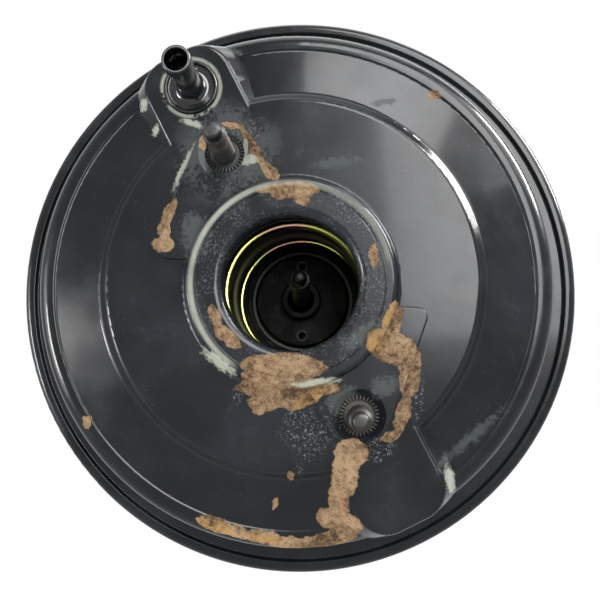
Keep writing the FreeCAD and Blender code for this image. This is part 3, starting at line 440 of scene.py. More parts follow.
class Finish(Layout):
    """One material, with its shader and its output."""

    def __init__(self, name):
        self.material = bpy.data.materials.new(name)
        self.material.use_nodes = True
        super().__init__(self.material.node_tree)
        self.tree.nodes.clear()
        self.surface = self.add("ShaderNodeBsdfPrincipled")
        self.lit = Level(self, self.surface.outputs[0])
        self.output = self.add("ShaderNodeOutputMaterial", None, {"Surface": self.lit})
        self.place = self.node("ShaderNodeTexCoord", output=3)

    def parts(self, vector):
        """The x, y and z of a vector."""
        split = self.add("ShaderNodeSeparateXYZ", None, {0: vector})
        return [Level(self, output) for output in split.outputs]

    def length(self, vector):
        return self.node("ShaderNodeVectorMath", {"operation": "LENGTH"}, {0: vector}, 1)

    def noise(self, scale, detail, rough, colour=False):
        """A noise over the piece's own place, from 0 to 1 and mostly near 0.5."""
        values = {"Vector": self.place, "Scale": scale, "Detail": detail, "Roughness": rough}
        return self.node("ShaderNodeTexNoise", None, values, 1 if colour else 0)

    def mixed(self, factor, first, second):
        """One colour laid over another."""
        return self.node("ShaderNodeMix", {"data_type": "RGBA"}, {0: factor, 6: first, 7: second}, 2)

    def bump(self, height, distance, below=None):
        """A relief of the given depth in metres, laid over the one below."""
        values = {"Height": height, "Distance": distance, "Strength": 1.0}
        if below is not None:
            values["Normal"] = below
        return self.node("ShaderNodeBump", None, values)

    def set(self, **values):
        """Sets the shader's sockets by their names."""
        for key, value in values.items():
            self.give(self.surface, key.replace("_", " "), value)

    def round_place(self, first, second, middle):
        """Distance from a middle given in mm, in the plane of two levels."""
        return ((first - middle[0] * MM) ** 2 + (second - middle[1] * MM) ** 2) ** 0.5

    def wear_distance(self, across, up, places):
        """Distance to the nearest of the worn places, 1 at their edge. Each place waits for the last."""
        nearest = FARTHEST
        for x, z, half_long, half_short, turn in places:
            spot = self.node("ShaderNodeCombineXYZ", None, {0: across, 1: up, 2: nearest})
            moved = self.node("ShaderNodeMapping", {"vector_type": "TEXTURE"}, {
                "Vector": spot,
                "Location": (x * MM, z * MM, 0),
                "Rotation": (0, 0, math.radians(turn)),
                "Scale": (half_long * MM, half_short * MM, 1e5),
            })
            nearest = self.length(moved).least(nearest)
        return nearest


def dress(material, *pieces):
    """Gives pieces or CAD nodes one material."""
    for piece in pieces:
        thing = NODES[piece] if isinstance(piece, str) else piece
        thing.data.materials.clear()
        thing.data.materials.append(material)


# Mesh building, all in mm until the mesh is made

def placed(name, points, faces, sharp=38.0):
    """A mesh object from points in mm, shaded smooth except over sharp edges."""
    mesh = bpy.data.meshes.new(name)
    mesh.from_pydata([(x * MM, y * MM, z * MM) for x, y, z in points], [], faces)
    mesh.validate()
    mesh.update()
    for polygon in mesh.polygons:
        polygon.use_smooth = True
    mesh.set_sharp_from_angle(angle=math.radians(sharp))
    thing = bpy.data.objects.new(name, mesh)
    bpy.context.scene.collection.objects.link(thing)
    return thing


def rounded(corners, closed=True, steps=6):
    """Points along an outline of r and y, with the corners that carry a radius rounded."""
    points = []
    count = len(corners)
    for i, corner in enumerate(corners):
        here = Vector(corner[:2])
        radius = corner[2] if len(corner) > 2 else 0
        if radius <= 0 or (not closed and i in (0, count - 1)):
            points.append(tuple(here))
            continue
        back = (Vector(corners[i - 1][:2]) - here).normalized()
        ahead = (Vector(corners[(i + 1) % count][:2]) - here).normalized()
        half = back.angle(ahead) / 2
        start = here + back * (radius / math.tan(half))
        end = here + ahead * (radius / math.tan(half))
        centre = here + (back + ahead).normalized() * (radius / math.sin(half))
        first = start - centre
        turn = first.angle_signed(end - centre)
        for k in range(steps + 1):
            angle = -turn * k / steps
            x = first.x * math.cos(angle) - first.y * math.sin(angle)
            y = first.x * math.sin(angle) + first.y * math.cos(angle)
            points.append((centre.x + x, centre.y + y))
    return points


def turned(name, outline, centre=(0.0, 0.0), steps=160, lift=None):
    """A closed outline of r and y turned about a line along y. lift gives each point a new y."""
    points = []
    for k in range(steps):
        angle = 2 * math.pi * k / steps
        for i, (r, y) in enumerate(outline):
            if lift is not None:
                y = lift(angle, i, y)
            points.append((centre[0] + r * math.cos(angle), y, centre[1] + r * math.sin(angle)))
    count = len(outline)
    faces = []
    for k in range(steps):
        ahead = (k + 1) % steps
        for i in range(count):
            j = (i + 1) % count
            faces.append((k * count + i, ahead * count + i, ahead * count + j, k * count + j))
    return placed(name, points, faces)


def coil(name, radius, wire, pitch, y0, y1, phase, per_turn=56, sides=18):
    """A coil spring with closed, ground end turns."""
    height = y1 - y0 - 2 * wire
    closed = 2 * wire + COIL_GAP
    turns = (height - 2 * closed) / pitch + 2
    ramp = 0.2

    def climb(turn):
        """Height of the wire's centre after a number of turns, with soft changes of pitch."""
        if turn <= 1 - ramp:
            return closed * turn
        if turn < 1 + ramp:
            into = turn - 1 + ramp
            return closed * turn + (pitch - closed) * into * into / (4 * ramp)
        return closed + pitch * (turn - 1)

    steps = round(turns * per_turn)
    points = []
    for k in range(steps + 1):
        turn = turns * k / steps
        rise = climb(turn) if turn < turns / 2 else height - climb(turns - turn)
        angle = math.radians(phase) + 2 * math.pi * turn
        out = Vector((math.cos(angle), 0, -math.sin(angle)))
        along = Vector((-math.sin(angle), pitch / (2 * math.pi * radius), -math.cos(angle))).normalized()
        up = along.cross(out).normalized()
        middle = out * radius + Vector((0, y0 + wire + rise, 0))
        for s in range(sides):
            around = 2 * math.pi * s / sides
            point = middle + (out * math.cos(around) + up * math.sin(around)) * wire
            points.append((point.x, min(max(point.y, y0), y1), point.z))
    faces = [tuple(range(sides))[::-1]]
    for k in range(steps):
        for s in range(sides):
            t = (s + 1) % sides
            faces.append((k * sides + s, k * sides + t, (k + 1) * sides + t, (k + 1) * sides + s))
    faces.append(tuple(steps * sides + s for s in range(sides)))
    return placed(name, points, faces)


def threaded(name, centre, tip, end, radius, pitch, depth, plain, point=0.0, steps=56, per_turn=9):
    """A threaded bar from its tip to its end, plain at first with a rounded point, then threaded."""
    direction = 1 if end > tip else -1
    length = abs(end - tip)
    root = radius - depth
    stations = [0.0, 0.05, 0.2, 0.45, 0.8, 1.2]
    begin = point + 0.2
    while begin < length:
        stations.append(begin)
        begin += pitch / per_turn
    stations.append(length)
    stations = sorted(set(s for s in stations if s <= length))
    points = [(centre[0], tip, centre[1])]
    for s in stations:
        for k in range(steps):
            angle = 2 * math.pi * k / steps
            phase = (s / pitch - direction * k / steps) % 1.0
            crest = min(max(abs(2 * phase - 1) * 1.45 - 0.2, 0), 1)
            start = min(max((s - point) / 1.6, 0), 1)
            body = plain + (root - plain) * start + depth * crest * min(max((s - point - 0.6) / 1.2, 0), 1)
            dome = math.sqrt(max(1 - (1 - min(s / 1.2, 1)) ** 2, 0))
            r = body if s >= 1.2 else plain * (0.55 + 0.45 * dome)
            x = centre[0] + r * math.cos(angle)
            z = centre[1] + r * math.sin(angle)
            points.append((x, tip + direction * s, z))
    faces = []
    for k in range(steps):
        faces.append((0, 1 + k, 1 + (k + 1) % steps))
    for i in range(len(stations) - 1):
        for k in range(steps):
            a = 1 + i * steps + k
            b = 1 + i * steps + (k + 1) % steps
            faces.append((a, a + steps, b + steps, b))
    last = 1 + (len(stations) - 1) * steps
    faces.append(tuple(last + k for k in range(steps)))
    return placed(name, points, faces, 60.0)


def joined(name, pieces):
    """Several pieces as one object."""
    for other in bpy.context.selected_objects:
        other.select_set(False)
    for piece in pieces:
        piece.select_set(True)
    bpy.context.view_layer.objects.active = pieces[0]
    bpy.ops.object.join()
    pieces[0].name = name
    pieces[0].data.name = name
    return pieces[0]


# Finishes

def worn_places(paint):
    """How much of each kind of wear the listed places put on the front shell, with the ring round the bare
    places that carries a painted shadow, and the noises they share.
    """
    x, y, z = paint.parts(paint.place)
    ragged = paint.parts(paint.noise(240, 5, 0.7, colour=True))
    across = x + (ragged[0] - 0.5) * RAGGED_EDGE
    up = z + (ragged[1] - 0.5) * RAGGED_EDGE
    grain = paint.noise(620, 4, 0.7)
    coarse = paint.noise(90, 4, 0.6)
    front = 1 - y.between(*WEAR_FADE_Y)
    marks = paint.noise(1150, 5, 0.9).between(0.53, 0.64)

    bare = paint.wear_distance(across, up, BARE_PLACES) + (grain - 0.5) * 0.3
    orange = paint.wear_distance(across, up, ORANGE_PLACES) + (grain - 0.5) * 0.8
    chalky = paint.wear_distance(across, up, CHALKY_PLACES) + (grain - 0.5) * 1.8
    smeared = paint.wear_distance(across, up, SMEARED_PLACES) + (grain - 0.5) * 2.2 + (coarse - 0.5) * 1.5
    scratched = paint.wear_distance(across, up, SCRATCHED_PLACES) + (coarse - 0.5) * 2.4
    return SimpleNamespace(
        x=x, z=z, out=(x * x + z * z) ** 0.5, front=front, marks=marks,
        grain=grain, coarse=coarse, fine=paint.noise(2600, 3, 0.7),
        bare=(1 - bare.between(0.96, 1.05)) * front,
        # outline: a thin ring round each bare place, which worn_colour darkens as a painted shadow of the
        # raised paint edge
        outline=bare.band(0.96, 1.10, 0.06) * front,
        orange=1 - orange.between(0.5, 1.4),
        chalky=(1 - chalky.between(0.60, 1.20)) * front,
        smeared=(1 - smeared.between(0.5, 1.3)) * front,
        scratched=(1 - scratched.between(0.6, 1.4)) * marks,
    )


def add_ringed_wear(paint, wear):
    """Adds the chalk, dirt and scratches that lie in rings round the boss, the studs and the pipe."""
    x, z, out, grain, coarse = wear.x, wear.z, wear.out, wear.grain, wear.coarse
    near_pipe = paint.round_place(x, z, on_line(PIPE_OUT))
    pipe_ring = near_pipe.band(*PIPE_RING, 0.0006) * (coarse + (grain - 0.5) * 0.8).between(0.34, 0.5)
    near_stud = paint.round_place(x, z, on_line(STUD_OUT))
    stud_dirt = (1 - near_stud.between(*STUD_DIRT)) * (coarse + (grain - 0.5) * 0.9).between(0.38, 0.6)
    lean = (x * math.cos(SPARED_ANGLE) + z * math.sin(SPARED_ANGLE)) / out
    boss_edge = out.band(*BOSS_EDGE, 0.0006) * (1 - lean.between(0.28, 0.46)) * wear.front
    boss_edge = boss_edge * (1 - x.between(-0.024, 0.004) * 0.55) * (0.45 + coarse * 0.8)
    boss_face = out.band(*BOSS_FACE, 0.0004) * wear.front * (0.45 + x.between(-0.02, 0.035) * 0.55)
    wear.pilot_lip = (1 - out.between(*PILOT_LIP)) * wear.front
    wear.chalky = wear.chalky.most(pipe_ring * 0.9).most(boss_edge).within()
    wear.smeared = wear.smeared.most(stud_dirt * 0.8)
    wear.scratched = wear.scratched.most(boss_face * wear.marks * coarse.between(0.35, 0.6))


def worn_colour(paint, wear, film):
    """Paint under dust, smears, scratches and a painted shadow along the edges of the bare places, then bare
    rusty steel, then chalk.
    """
    palette = colours()
    specks = paint.noise(1500, 2, 0.5).between(0.68, 0.74) * wear.coarse.between(0.42, 0.6)
    shade = paint.mixed(film * 0.45, tuple(palette.paint), tuple(palette.dusty_paint))
    shade = paint.mixed((specks * 0.5).most(wear.smeared * 0.42), shade, tuple(palette.smear))
    shade = paint.mixed(wear.scratched * 0.8, shade, tuple(palette.scratch))
    # Painted shadow: a near-black line along the edge of each bare place, standing in for the shade of the
    # raised paint edge
    shade = paint.mixed(wear.outline * 0.7, shade, tint("#191512"))

    tone = (wear.grain - 0.5) * 2.2 + (wear.coarse - 0.5) * 2.2 + (wear.fine - 0.5) * 1.6
    tone = (tone + 0.52).within()
    rust = paint.mixed(tone.between(0.05, 0.50), tuple(palette.bare_dark), tuple(palette.bare_mid))
    rust = paint.mixed(tone.between(0.50, 0.95), rust, tuple(palette.bare_light))
    rust = paint.mixed(wear.orange * tone * 0.7, rust, tuple(palette.orange))
    shade = paint.mixed(wear.bare, shade, rust)
    return paint.mixed(wear.chalky * 0.75, shade, tuple(palette.chalk))


def paint_ripple(paint):
    """The fine ripple of sprayed paint."""
    return paint.bump(paint.noise(330, 2, 0.5), sizes().peel_depth)


def worn_paint():
    """Gloss black paint with bare, rusted, chalky, smeared and scratched places."""
    paint = Finish("worn_black_paint")
    wear = worn_places(paint)
    add_ringed_wear(paint, wear)
    near_boss = (1 - wear.out.between(*BOSS_DUST)) * wear.front
    film = (paint.noise(26, 5, 0.6).between(0.38, 0.72) * 0.4 + near_boss * wear.grain * 0.25).within()

    rough = 0.15 + wear.coarse.between(0.35, 0.75) * 0.10 + film * 0.18
    rough = rough + wear.smeared * 0.3 + wear.scratched * 0.15 + wear.bare * 0.6
    rough = rough + wear.chalky * 0.4 + wear.pilot_lip * 0.3 + (wear.fine - 0.5) * 0.05
    whole = 1 - wear.bare - wear.chalky - wear.smeared * 0.7 - wear.pilot_lip
    edge = paint.bump(1 - wear.bare, PAINT_THICK, paint_ripple(paint))
    pitted = paint.noise(1100, 4, 0.75) * (wear.bare + wear.chalky * 0.6 + wear.smeared * 0.4)
    pitted = pitted + wear.scratched * 0.3 + wear.fine * 0.08
    paint.set(Base_Color=worn_colour(paint, wear, film), Roughness=rough.within(),
              Coat_Weight=(whole * 0.16).within(), Normal=paint.bump(pitted, PIT_DEPTH, edge))
    paint.set(Coat_Roughness=0.08, Specular_IOR_Level=0.13)
    return paint.material


def plain_paint():
    """The same paint where it is whole, with dust and light scuffs."""
    palette = colours()
    paint = Finish("rear_black_paint")
    coarse = paint.noise(55, 5, 0.6)
    fine = paint.noise(2200, 3, 0.7)
    specks = paint.noise(1300, 2, 0.5).between(0.70, 0.76)
    dust = (coarse.between(0.45, 0.75) * 0.5 + specks * 0.5).within()
    chips = (paint.noise(210, 4, 0.7) + (fine - 0.5) * 0.2).between(0.71, 0.74)
    shade = paint.mixed(dust * 0.4, tuple(palette.paint), tuple(palette.dusty_paint))
    shade = paint.mixed(chips, shade, tuple(palette.bare_dark))
    rough = 0.18 + dust * 0.3 + chips * 0.4 + (fine - 0.5) * 0.04
    paint.set(Base_Color=shade, Roughness=rough.within(), Coat_Weight=((1 - chips) * 0.2).within(),
              Normal=paint.bump(1 - chips, SCUFF_DEPTH, paint_ripple(paint)))
    paint.set(Coat_Roughness=0.08, Specular_IOR_Level=0.13)
    return paint.material


def metal(name, colour, stain, rough, brushed, stain_share):
    """Plated or bare metal with stains and fine marks."""
    steel = Finish(name)
    coarse = steel.noise(120, 4, 0.6)
    fine = steel.noise(1800, 3, 0.7)
    stained = (coarse + (fine - 0.5) * 0.5).between(0.48, 0.72) * stain_share
    shade = steel.mixed(stained, colour, stain)
    shade = steel.mixed(fine.between(0.55, 0.8) * 0.25, shade, tuple(0.5 * v for v in colour[:3]) + (1.0,))
    steel.set(Base_Color=shade, Metallic=(1 - stained * 0.7).within(),
              Roughness=(rough + stained * 0.4 + (fine - 0.5) * brushed).within(),
              Normal=steel.bump(fine, 0.00003))
    return steel.material


def soft(name, colour, worn, rough, grain, height):
    """Rubber, plastic, fibre, felt or foam: one colour with a grain and a paler worn film."""
    skin = Finish(name)
    coarse = skin.noise(70, 4, 0.6)
    fine = skin.noise(grain, 4, 0.7)
    film = (coarse + (fine - 0.5) * 0.4).between(0.42, 0.78)
    skin.set(Base_Color=skin.mixed(film * 0.5, colour, worn),
             Roughness=(rough + film * 0.15 + (fine - 0.5) * 0.1).within(),
             Normal=skin.bump(fine, height))
    return skin.material


# Pieces

class PaintShells(bpy.types.Operator):
    """Paint the front and rear shells black, worn as the real ones are"""
    bl_idname = "booster.paint_shells"
    bl_label = "Paint shells"

    def execute(self, context):
        dress(worn_paint(), "front_shell")
        dress(plain_paint(), "rear_shell")
        return {"FINISHED"}


class FinishVacuumPipe(bpy.types.Operator):
    """Finish the vacuum pipe and its dish in glossy black"""
    bl_idname = "booster.finish_vacuum_pipe"
    bl_label = "Finish vacuum pipe"

    def execute(self, context):
        palette = colours()
        pipe = Finish("pipe_black")
        x, y, z = pipe.parts(pipe.place)
        near = pipe.round_place(x, z, on_line(PIPE_OUT))
        fine = pipe.noise(1500, 3, 0.7)
        coarse = pipe.noise(220, 4, 0.6)
        lip = (1 - y.between(*PIPE_LIP_Y)) * (1 - near.between(*PIPE_LIP))
        lip = lip * coarse.between(0.30, 0.5)
        chips = (coarse + (fine - 0.5) * 0.4).between(0.66, 0.72)
        shade = pipe.mixed(lip.most(chips * 0.6), tuple(palette.paint), tuple(palette.plain_steel))
        pipe.set(Base_Color=shade, Roughness=(0.16 + chips * 0.3 + (fine - 0.5) * 0.06).within(),
                 Metallic=(lip * 0.8).within(), Coat_Weight=((1 - lip) * 0.4).within(),
                 Normal=pipe.bump(fine, 0.00002))
        pipe.set(Coat_Roughness=0.06, Specular_IOR_Level=0.3)
        dress(pipe.material, "vacuum_pipe")
        return {"FINISHED"}


def cut_teeth(angle, i, y):
    """Lowers the three points of the collar's face between its teeth."""
    if i not in (3, 4, 5):
        return y
    saw = abs((angle * COLLAR_TEETH / (2 * math.pi)) % 1.0 * 2 - 1)
    return y + TOOTH_DEPTH * min(max(1.25 * saw - 0.15, 0), 1)


class BuildMasterCylinderStuds(bpy.types.Operator):
    """Cut the threads and serrated collars of the two studs that carry the master cylinder"""
    bl_idname = "booster.build_master_cylinder_studs"
    bl_label = "Build master cylinder studs"

    def execute(self, context):
        size = sizes()
        low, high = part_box("master_cylinder_studs")
        tip = low.y / MM
        end = high.y / MM
        collar = FRONT_Y + COLLAR_DROP
        plate = end - HEAD_THICK
        for side, name, shade in ((1, "upper_stud", "#303132"), (-1, "lower_stud", "#363635")):
            centre = on_line(side * STUD_OUT)
            bar = threaded(name + "_thread", centre, tip, collar + 0.8, STUD_R, size.thread_pitch / MM,
                           size.thread_depth / MM, STUD_POINT_R, STUD_POINT)
            outline = [
                (COLLAR_BORE_R, collar + 0.7), (COLLAR_SEAT_R - 0.3, collar + 0.7),
                (COLLAR_SEAT_R - 0.18, collar + 0.35), (COLLAR_SEAT_R, collar), (COLLAR_R - 0.3, collar),
                (COLLAR_R - 0.05, collar + 0.12), (COLLAR_R, collar + 0.5), (COLLAR_R, plate),
                (HEAD_R, plate), (HEAD_R, end - 0.8), (HEAD_R - 0.3, end - 0.2), (HEAD_R - 1.0, end),
                (COLLAR_BORE_R, end),
            ]
            head = turned(name + "_collar", outline, centre, COLLAR_TEETH * 12, cut_teeth)
            stud = joined(name, [bar, head])
            dress(metal(name + "_steel", tint(shade), tint("#3d3024"), 0.42, 0.3, 0.6), stud)
            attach(stud, "shell")
            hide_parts("master_cylinder_studs")
        return {"FINISHED"}


class BuildFirewallStuds(bpy.types.Operator):
    """Cut the threads of the four studs that hold the booster to the firewall"""
    bl_idname = "booster.build_firewall_studs"
    bl_label = "Build firewall studs"

    def execute(self, context):
        size = sizes()
        low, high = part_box("firewall_studs")
        tip = high.y / MM
        head = low.y / MM
        steel = metal("firewall_stud_steel", tuple(colours().plain_steel), tint("#5a4a38"), 0.32, 0.3, 0.5)
        face = head + FIREWALL_HEAD_THICK
        for x in (-FIREWALL_HALF_X, FIREWALL_HALF_X):
            for z in (-FIREWALL_HALF_Z, FIREWALL_HALF_Z):
                name = "firewall_stud_" + ("right" if x > 0 else "left") + ("_top" if z > 0 else "_bottom")
                bar = threaded(name + "_thread", (x, z), tip, face, STUD_R, size.thread_pitch / MM,
                               size.thread_depth / MM, STUD_POINT_R, STUD_POINT)
                outline = rounded([
                    (FIREWALL_BORE_R, head), (FIREWALL_HEAD_R, head, FIREWALL_HEAD_EDGE),
                    (FIREWALL_HEAD_R, face), (FIREWALL_SHOULDER_R, face), (FIREWALL_SHOULDER_R, REAR_Y),
                    (FIREWALL_BORE_R, REAR_Y),
                ])
                flange = turned(name + "_head", outline, (x, z), 48)
                stud = joined(name, [bar, flange])
                dress(steel, stud)
                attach(stud, "shell")
                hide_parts("firewall_studs")
        return {"FINISHED"}


class BuildReturnSpring(bpy.types.Operator):
    """Wind the return spring between the front shell and the power piston"""
    bl_idname = "booster.build_return_spring"
    bl_label = "Build return spring"

    def execute(self, context):
        size = sizes()
        wire = size.spring_wire / MM
        pitch = size.spring_pitch / MM
        depth = FRONT_Y + SEEN_COIL_DEPTH - SPRING_FRONT_Y - wire - (2 * wire + COIL_GAP)
        phase = 180 - 360 * (1 + depth / pitch)
        spring = coil("return_spring_wire", SPRING_R, wire, pitch, SPRING_FRONT_Y, SPRING_REAR_Y, phase)
        palette = colours()
        plating = Finish("yellow_zinc_wire")
        across, depth_in, up = plating.parts(plating.place)
        fine = plating.noise(1800, 3, 0.7)
        pink = across.band(-0.015, 0.004, 0.005) * depth_in.between(*PINK_COILS_Y) * up.between(0.0, 0.01)
        # Painted shade: the deeper coils get a near-black, rougher, less metallic colour that stands in for
        # the shadow inside the shell
        painted_shade = depth_in.between(*SHADED_COILS_START_Y) * (1 - depth_in.between(*SHADED_COILS_END_Y))
        shade = plating.mixed(pink, tuple(palette.wire_green), tuple(palette.wire_pink))
        shade = plating.mixed(painted_shade * 0.9, shade, tint("#17160f"))
        plating.set(Base_Color=shade, Metallic=1 - painted_shade * 0.6,
                    Roughness=(0.22 + painted_shade * 0.35 + (fine - 0.5) * 0.2).within(),
                    Normal=plating.bump(fine, 0.00002))
        dress(plating.material, spring)
        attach(spring, "shell")
        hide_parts("return_spring")
        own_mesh(spring)
        return {"FINISHED"}


class BuildSmallSprings(bpy.types.Operator):
    """Wind the two small springs inside the valve body"""
    bl_idname = "booster.build_small_springs"
    bl_label = "Build small springs"

    def execute(self, context):
        wire_metal = metal("spring_steel_wire", tuple(colours().plain_steel), tint("#6a6660"), 0.25, 0.2, 0.3)
        poppet = coil("poppet_spring_wire", POPPET_SPRING_R, POPPET_SPRING_WIRE, POPPET_SPRING_PITCH,
                      POPPET_SPRING_FRONT_Y, POPPET_SPRING_REAR_Y, 0, 36, 10)
        rod = coil("rod_spring_wire", ROD_SPRING_R, ROD_SPRING_WIRE, ROD_SPRING_PITCH,
                   ROD_SPRING_FRONT_Y, ROD_SPRING_REAR_Y, 90, 36, 10)
        for spring, node in ((poppet, "poppet_spring"), (rod, "rod_return_spring")):
            dress(wire_metal, spring)
            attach(spring, "power_piston")
            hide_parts(node)
        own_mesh(rod)
        return {"FINISHED"}


class BuildDustBoot(bpy.types.Operator):
    """Mould the dust boot, with its cuff, folds and cap"""
    bl_idname = "booster.build_dust_boot"
    bl_label = "Build dust boot"

    def execute(self, context):
        wall = sizes().boot_wall / MM
        outer = [
            (BOOT_CUFF_R, BOOT_FRONT_Y), (BOOT_BEAD_R, BOOT_FRONT_Y + 0.6), (BOOT_BEAD_R, BOOT_FRONT_Y + 2.4),
            (BOOT_CUFF_R, BOOT_FRONT_Y + 3.0), (BOOT_CUFF_R, BOOT_FOLD_FRONT_Y),
        ]
        inner = [(BOOT_CUFF_R - wall, BOOT_FRONT_Y), (BOOT_CUFF_R - wall, BOOT_FOLD_FRONT_Y)]
        steps = 72
        for k in range(steps + 1):
            share = k / steps
            swing = math.cos(2 * math.pi * BOOT_FOLDS * share)
            swing = math.copysign(abs(swing) ** 0.8, swing)
            middle = BOOT_CUFF_R - BOOT_TAPER * share
            height = BOOT_FOLD_HEIGHT * min(share * 14, 1) * min((1 - share) * 14 + 0.25, 1)
            r = middle - height * swing
            y = BOOT_FOLD_FRONT_Y + (BOOT_FOLD_REAR_Y - BOOT_FOLD_FRONT_Y) * share
            outer.append((r + wall / 2, y))
            inner.append((r - wall / 2, y))
        outer += [
            (BOOT_CAP_R, BOOT_CAP_Y), (BOOT_CAP_R, BOOT_REAR_Y - 1.0), (BOOT_CAP_R - 0.4, BOOT_REAR_Y - 0.3),
            (BOOT_CAP_R - 1.2, BOOT_REAR_Y), (BOOT_BORE_R, BOOT_REAR_Y),
        ]
        inner += [(BOOT_CAP_INSIDE_R, BOOT_CAP_Y), (BOOT_CAP_INSIDE_R, BOOT_REAR_Y - wall),
                  (BOOT_BORE_R, BOOT_REAR_Y - wall)]
        boot = turned("dust_boot_rubber", outer + inner[::-1], steps=144)
        dress(soft("boot_rubber", tuple(colours().rubber), tint("#47474a"), 0.55, 1400, 0.00004), boot)
        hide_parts("dust_boot")
        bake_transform(boot)
        return {"FINISHED"}


class BuildDiaphragm(bpy.types.Operator):
    """Mould the rubber diaphragm between the shells and the power piston"""
    bl_idname = "booster.build_diaphragm"
    bl_label = "Build diaphragm"

    def execute(self, context):
        outline = rounded([
            (DIAPHRAGM_BORE_R, WEB_FRONT_Y), (60.7, WEB_FRONT_Y, 4.0), (82.5, -28.0, 9.0), (93.0, -47.2, 6.0),
            (94.1, -70.4, 2.0), (BEAD_INNER_R, -70.0), (BEAD_INNER_R, BEAD_FRONT_Y, MOULD_EDGE),
            (BEAD_OUTER_R, BEAD_FRONT_Y, MOULD_EDGE), (BEAD_OUTER_R, BEAD_REAR_Y, MOULD_EDGE),
            (BEAD_INNER_R, BEAD_REAR_Y, MOULD_EDGE), (BEAD_INNER_R, -68.4), (96.0, -68.6, 0.9),
            (94.7, -47.0, 4.4), (84.0, -27.0, 7.4), (61.4, WEB_REAR_Y, 2.4), (DIAPHRAGM_LIP_R, WEB_REAR_Y),
            (DIAPHRAGM_LIP_R, DIAPHRAGM_LIP_Y, 0.6), (DIAPHRAGM_BORE_R, DIAPHRAGM_LIP_Y, 0.6),
        ], steps=5)
        membrane = turned("diaphragm_rubber", outline, steps=160)
        skin = soft("diaphragm_rubber_skin", tuple(colours().rubber), tint("#3b3b3d"), 0.5, 1800, 0.00003)
        dress(skin, membrane)
        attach(membrane, "shell")
        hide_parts("diaphragm")
        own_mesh(membrane)
        return {"FINISHED"}


class BuildInputRod(bpy.types.Operator):
    """Turn the input rod with its ball and the thread that carries the clevis"""
    bl_idname = "booster.build_input_rod"
    bl_label = "Build input rod"

    def execute(self, context):
        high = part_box("input_rod")[1]
        thread = threaded("input_rod_thread", (0, 0), high.y / MM, ROD_THREAD_Y, ROD_R,
                          sizes().rod_pitch / MM, ROD_THREAD_DEPTH, ROD_POINT_R, ROD_POINT)
        outline = [(ROD_AXIS_R, ROD_FRONT_Y)]
        steps = 17
        for k in range(1, steps - 2):
            angle = math.pi * (k / steps)
            outline.append((ROD_BALL_R * math.sin(angle), ROD_BALL_Y - ROD_BALL_R * math.cos(angle)))
        outline += rounded([
            (ROD_NECK_R, ROD_NECK_Y[0]), (ROD_NECK_R, ROD_NECK_Y[1], 0.6), (ROD_R, ROD_SHANK_Y, 0.6),
            (ROD_R, ROD_THREAD_Y + 0.4), (ROD_AXIS_R, ROD_THREAD_Y + 0.4),
        ], False)
        shaft = turned("input_rod_shaft", outline, steps=64)
        rod = joined("input_rod_steel", [shaft, thread])
        dress(metal("input_rod_zinc", tint("#847f60"), tint("#6d6250"), 0.32, 0.25, 0.4), rod)
        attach(rod, "input_rod")
        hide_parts("input_rod")
        return {"FINISHED"}


class FinishInnerPieces(bpy.types.Operator):
    """Give every remaining piece its own steel, rubber, plastic, felt or foam, except the pieces deep inside,
    whose near-black steel is painted shade
    """
    bl_idname = "booster.finish_inner_pieces"
    bl_label = "Finish inner pieces"

    def execute(self, context):
        palette = colours()
        steel = metal("plain_steel", tuple(palette.plain_steel), tint("#6b6255"), 0.34, 0.25, 0.4)
        dress(steel, "front_reinforcement_plate", "rear_reinforcement_plate", "pipe_backing_ring",
              "neck_seal_retainer", "poppet_insert", "poppet_retainer", "rod_spring_seat", "plunger",
              "diaphragm_plate")
        zinc = metal("yellow_zinc_plate", tuple(palette.zinc), tint("#5f573e"), 0.50, 0.2, 0.6)
        dress(zinc, "front_spring_seat", "lock_nut", "clevis", "stop_key")
        # Painted shade: the pieces deep inside the shell get a near-black steel that stands in for their
        # shadow
        dark = metal("painted_shade_steel", tint("#0e0e0e"), tint("#14110e"), 0.34, 0.2, 0.5)
        dress(dark, "rear_spring_seat", "output_rod", "output_rod_retainer", "output_rod_tip", "reaction_cup")
        soft_finishes = (
            ("moulded_phenolic", palette.phenolic, "#1b1a19", 0.30, 1200, 0.00003, ("valve_body",)),
            ("natural_nylon", palette.nylon, "#b8ae94", 0.45, 900, 0.00002, ("neck_bearing",)),
            ("gasket_fibre", palette.gasket, "#6d6c64", 0.8, 1500, 0.00006, ("firewall_gasket",)),
            ("wool_felt", palette.felt, "#b9b5aa", 0.9, 2400, 0.00020, ("silencer_felt",)),
            ("filter_foam", palette.foam, "#5a5b5d", 0.9, 900, 0.00035, ("air_filter",)),
            ("black_rubber", palette.rubber, "#3f3f41", 0.5, 1600, 0.00003,
             ("neck_seal", "reaction_disc", "poppet_valve")),
        )
        for name, colour, worn, rough, grain, height, pieces in soft_finishes:
            dress(soft(name, tuple(colour), tint(worn), rough, grain, height), *pieces)
        return {"FINISHED"}


def ray(layout, kind):
    """1 for rays of one kind and 0 for all others."""
    return layout.node("ShaderNodeLightPath", output=kind)


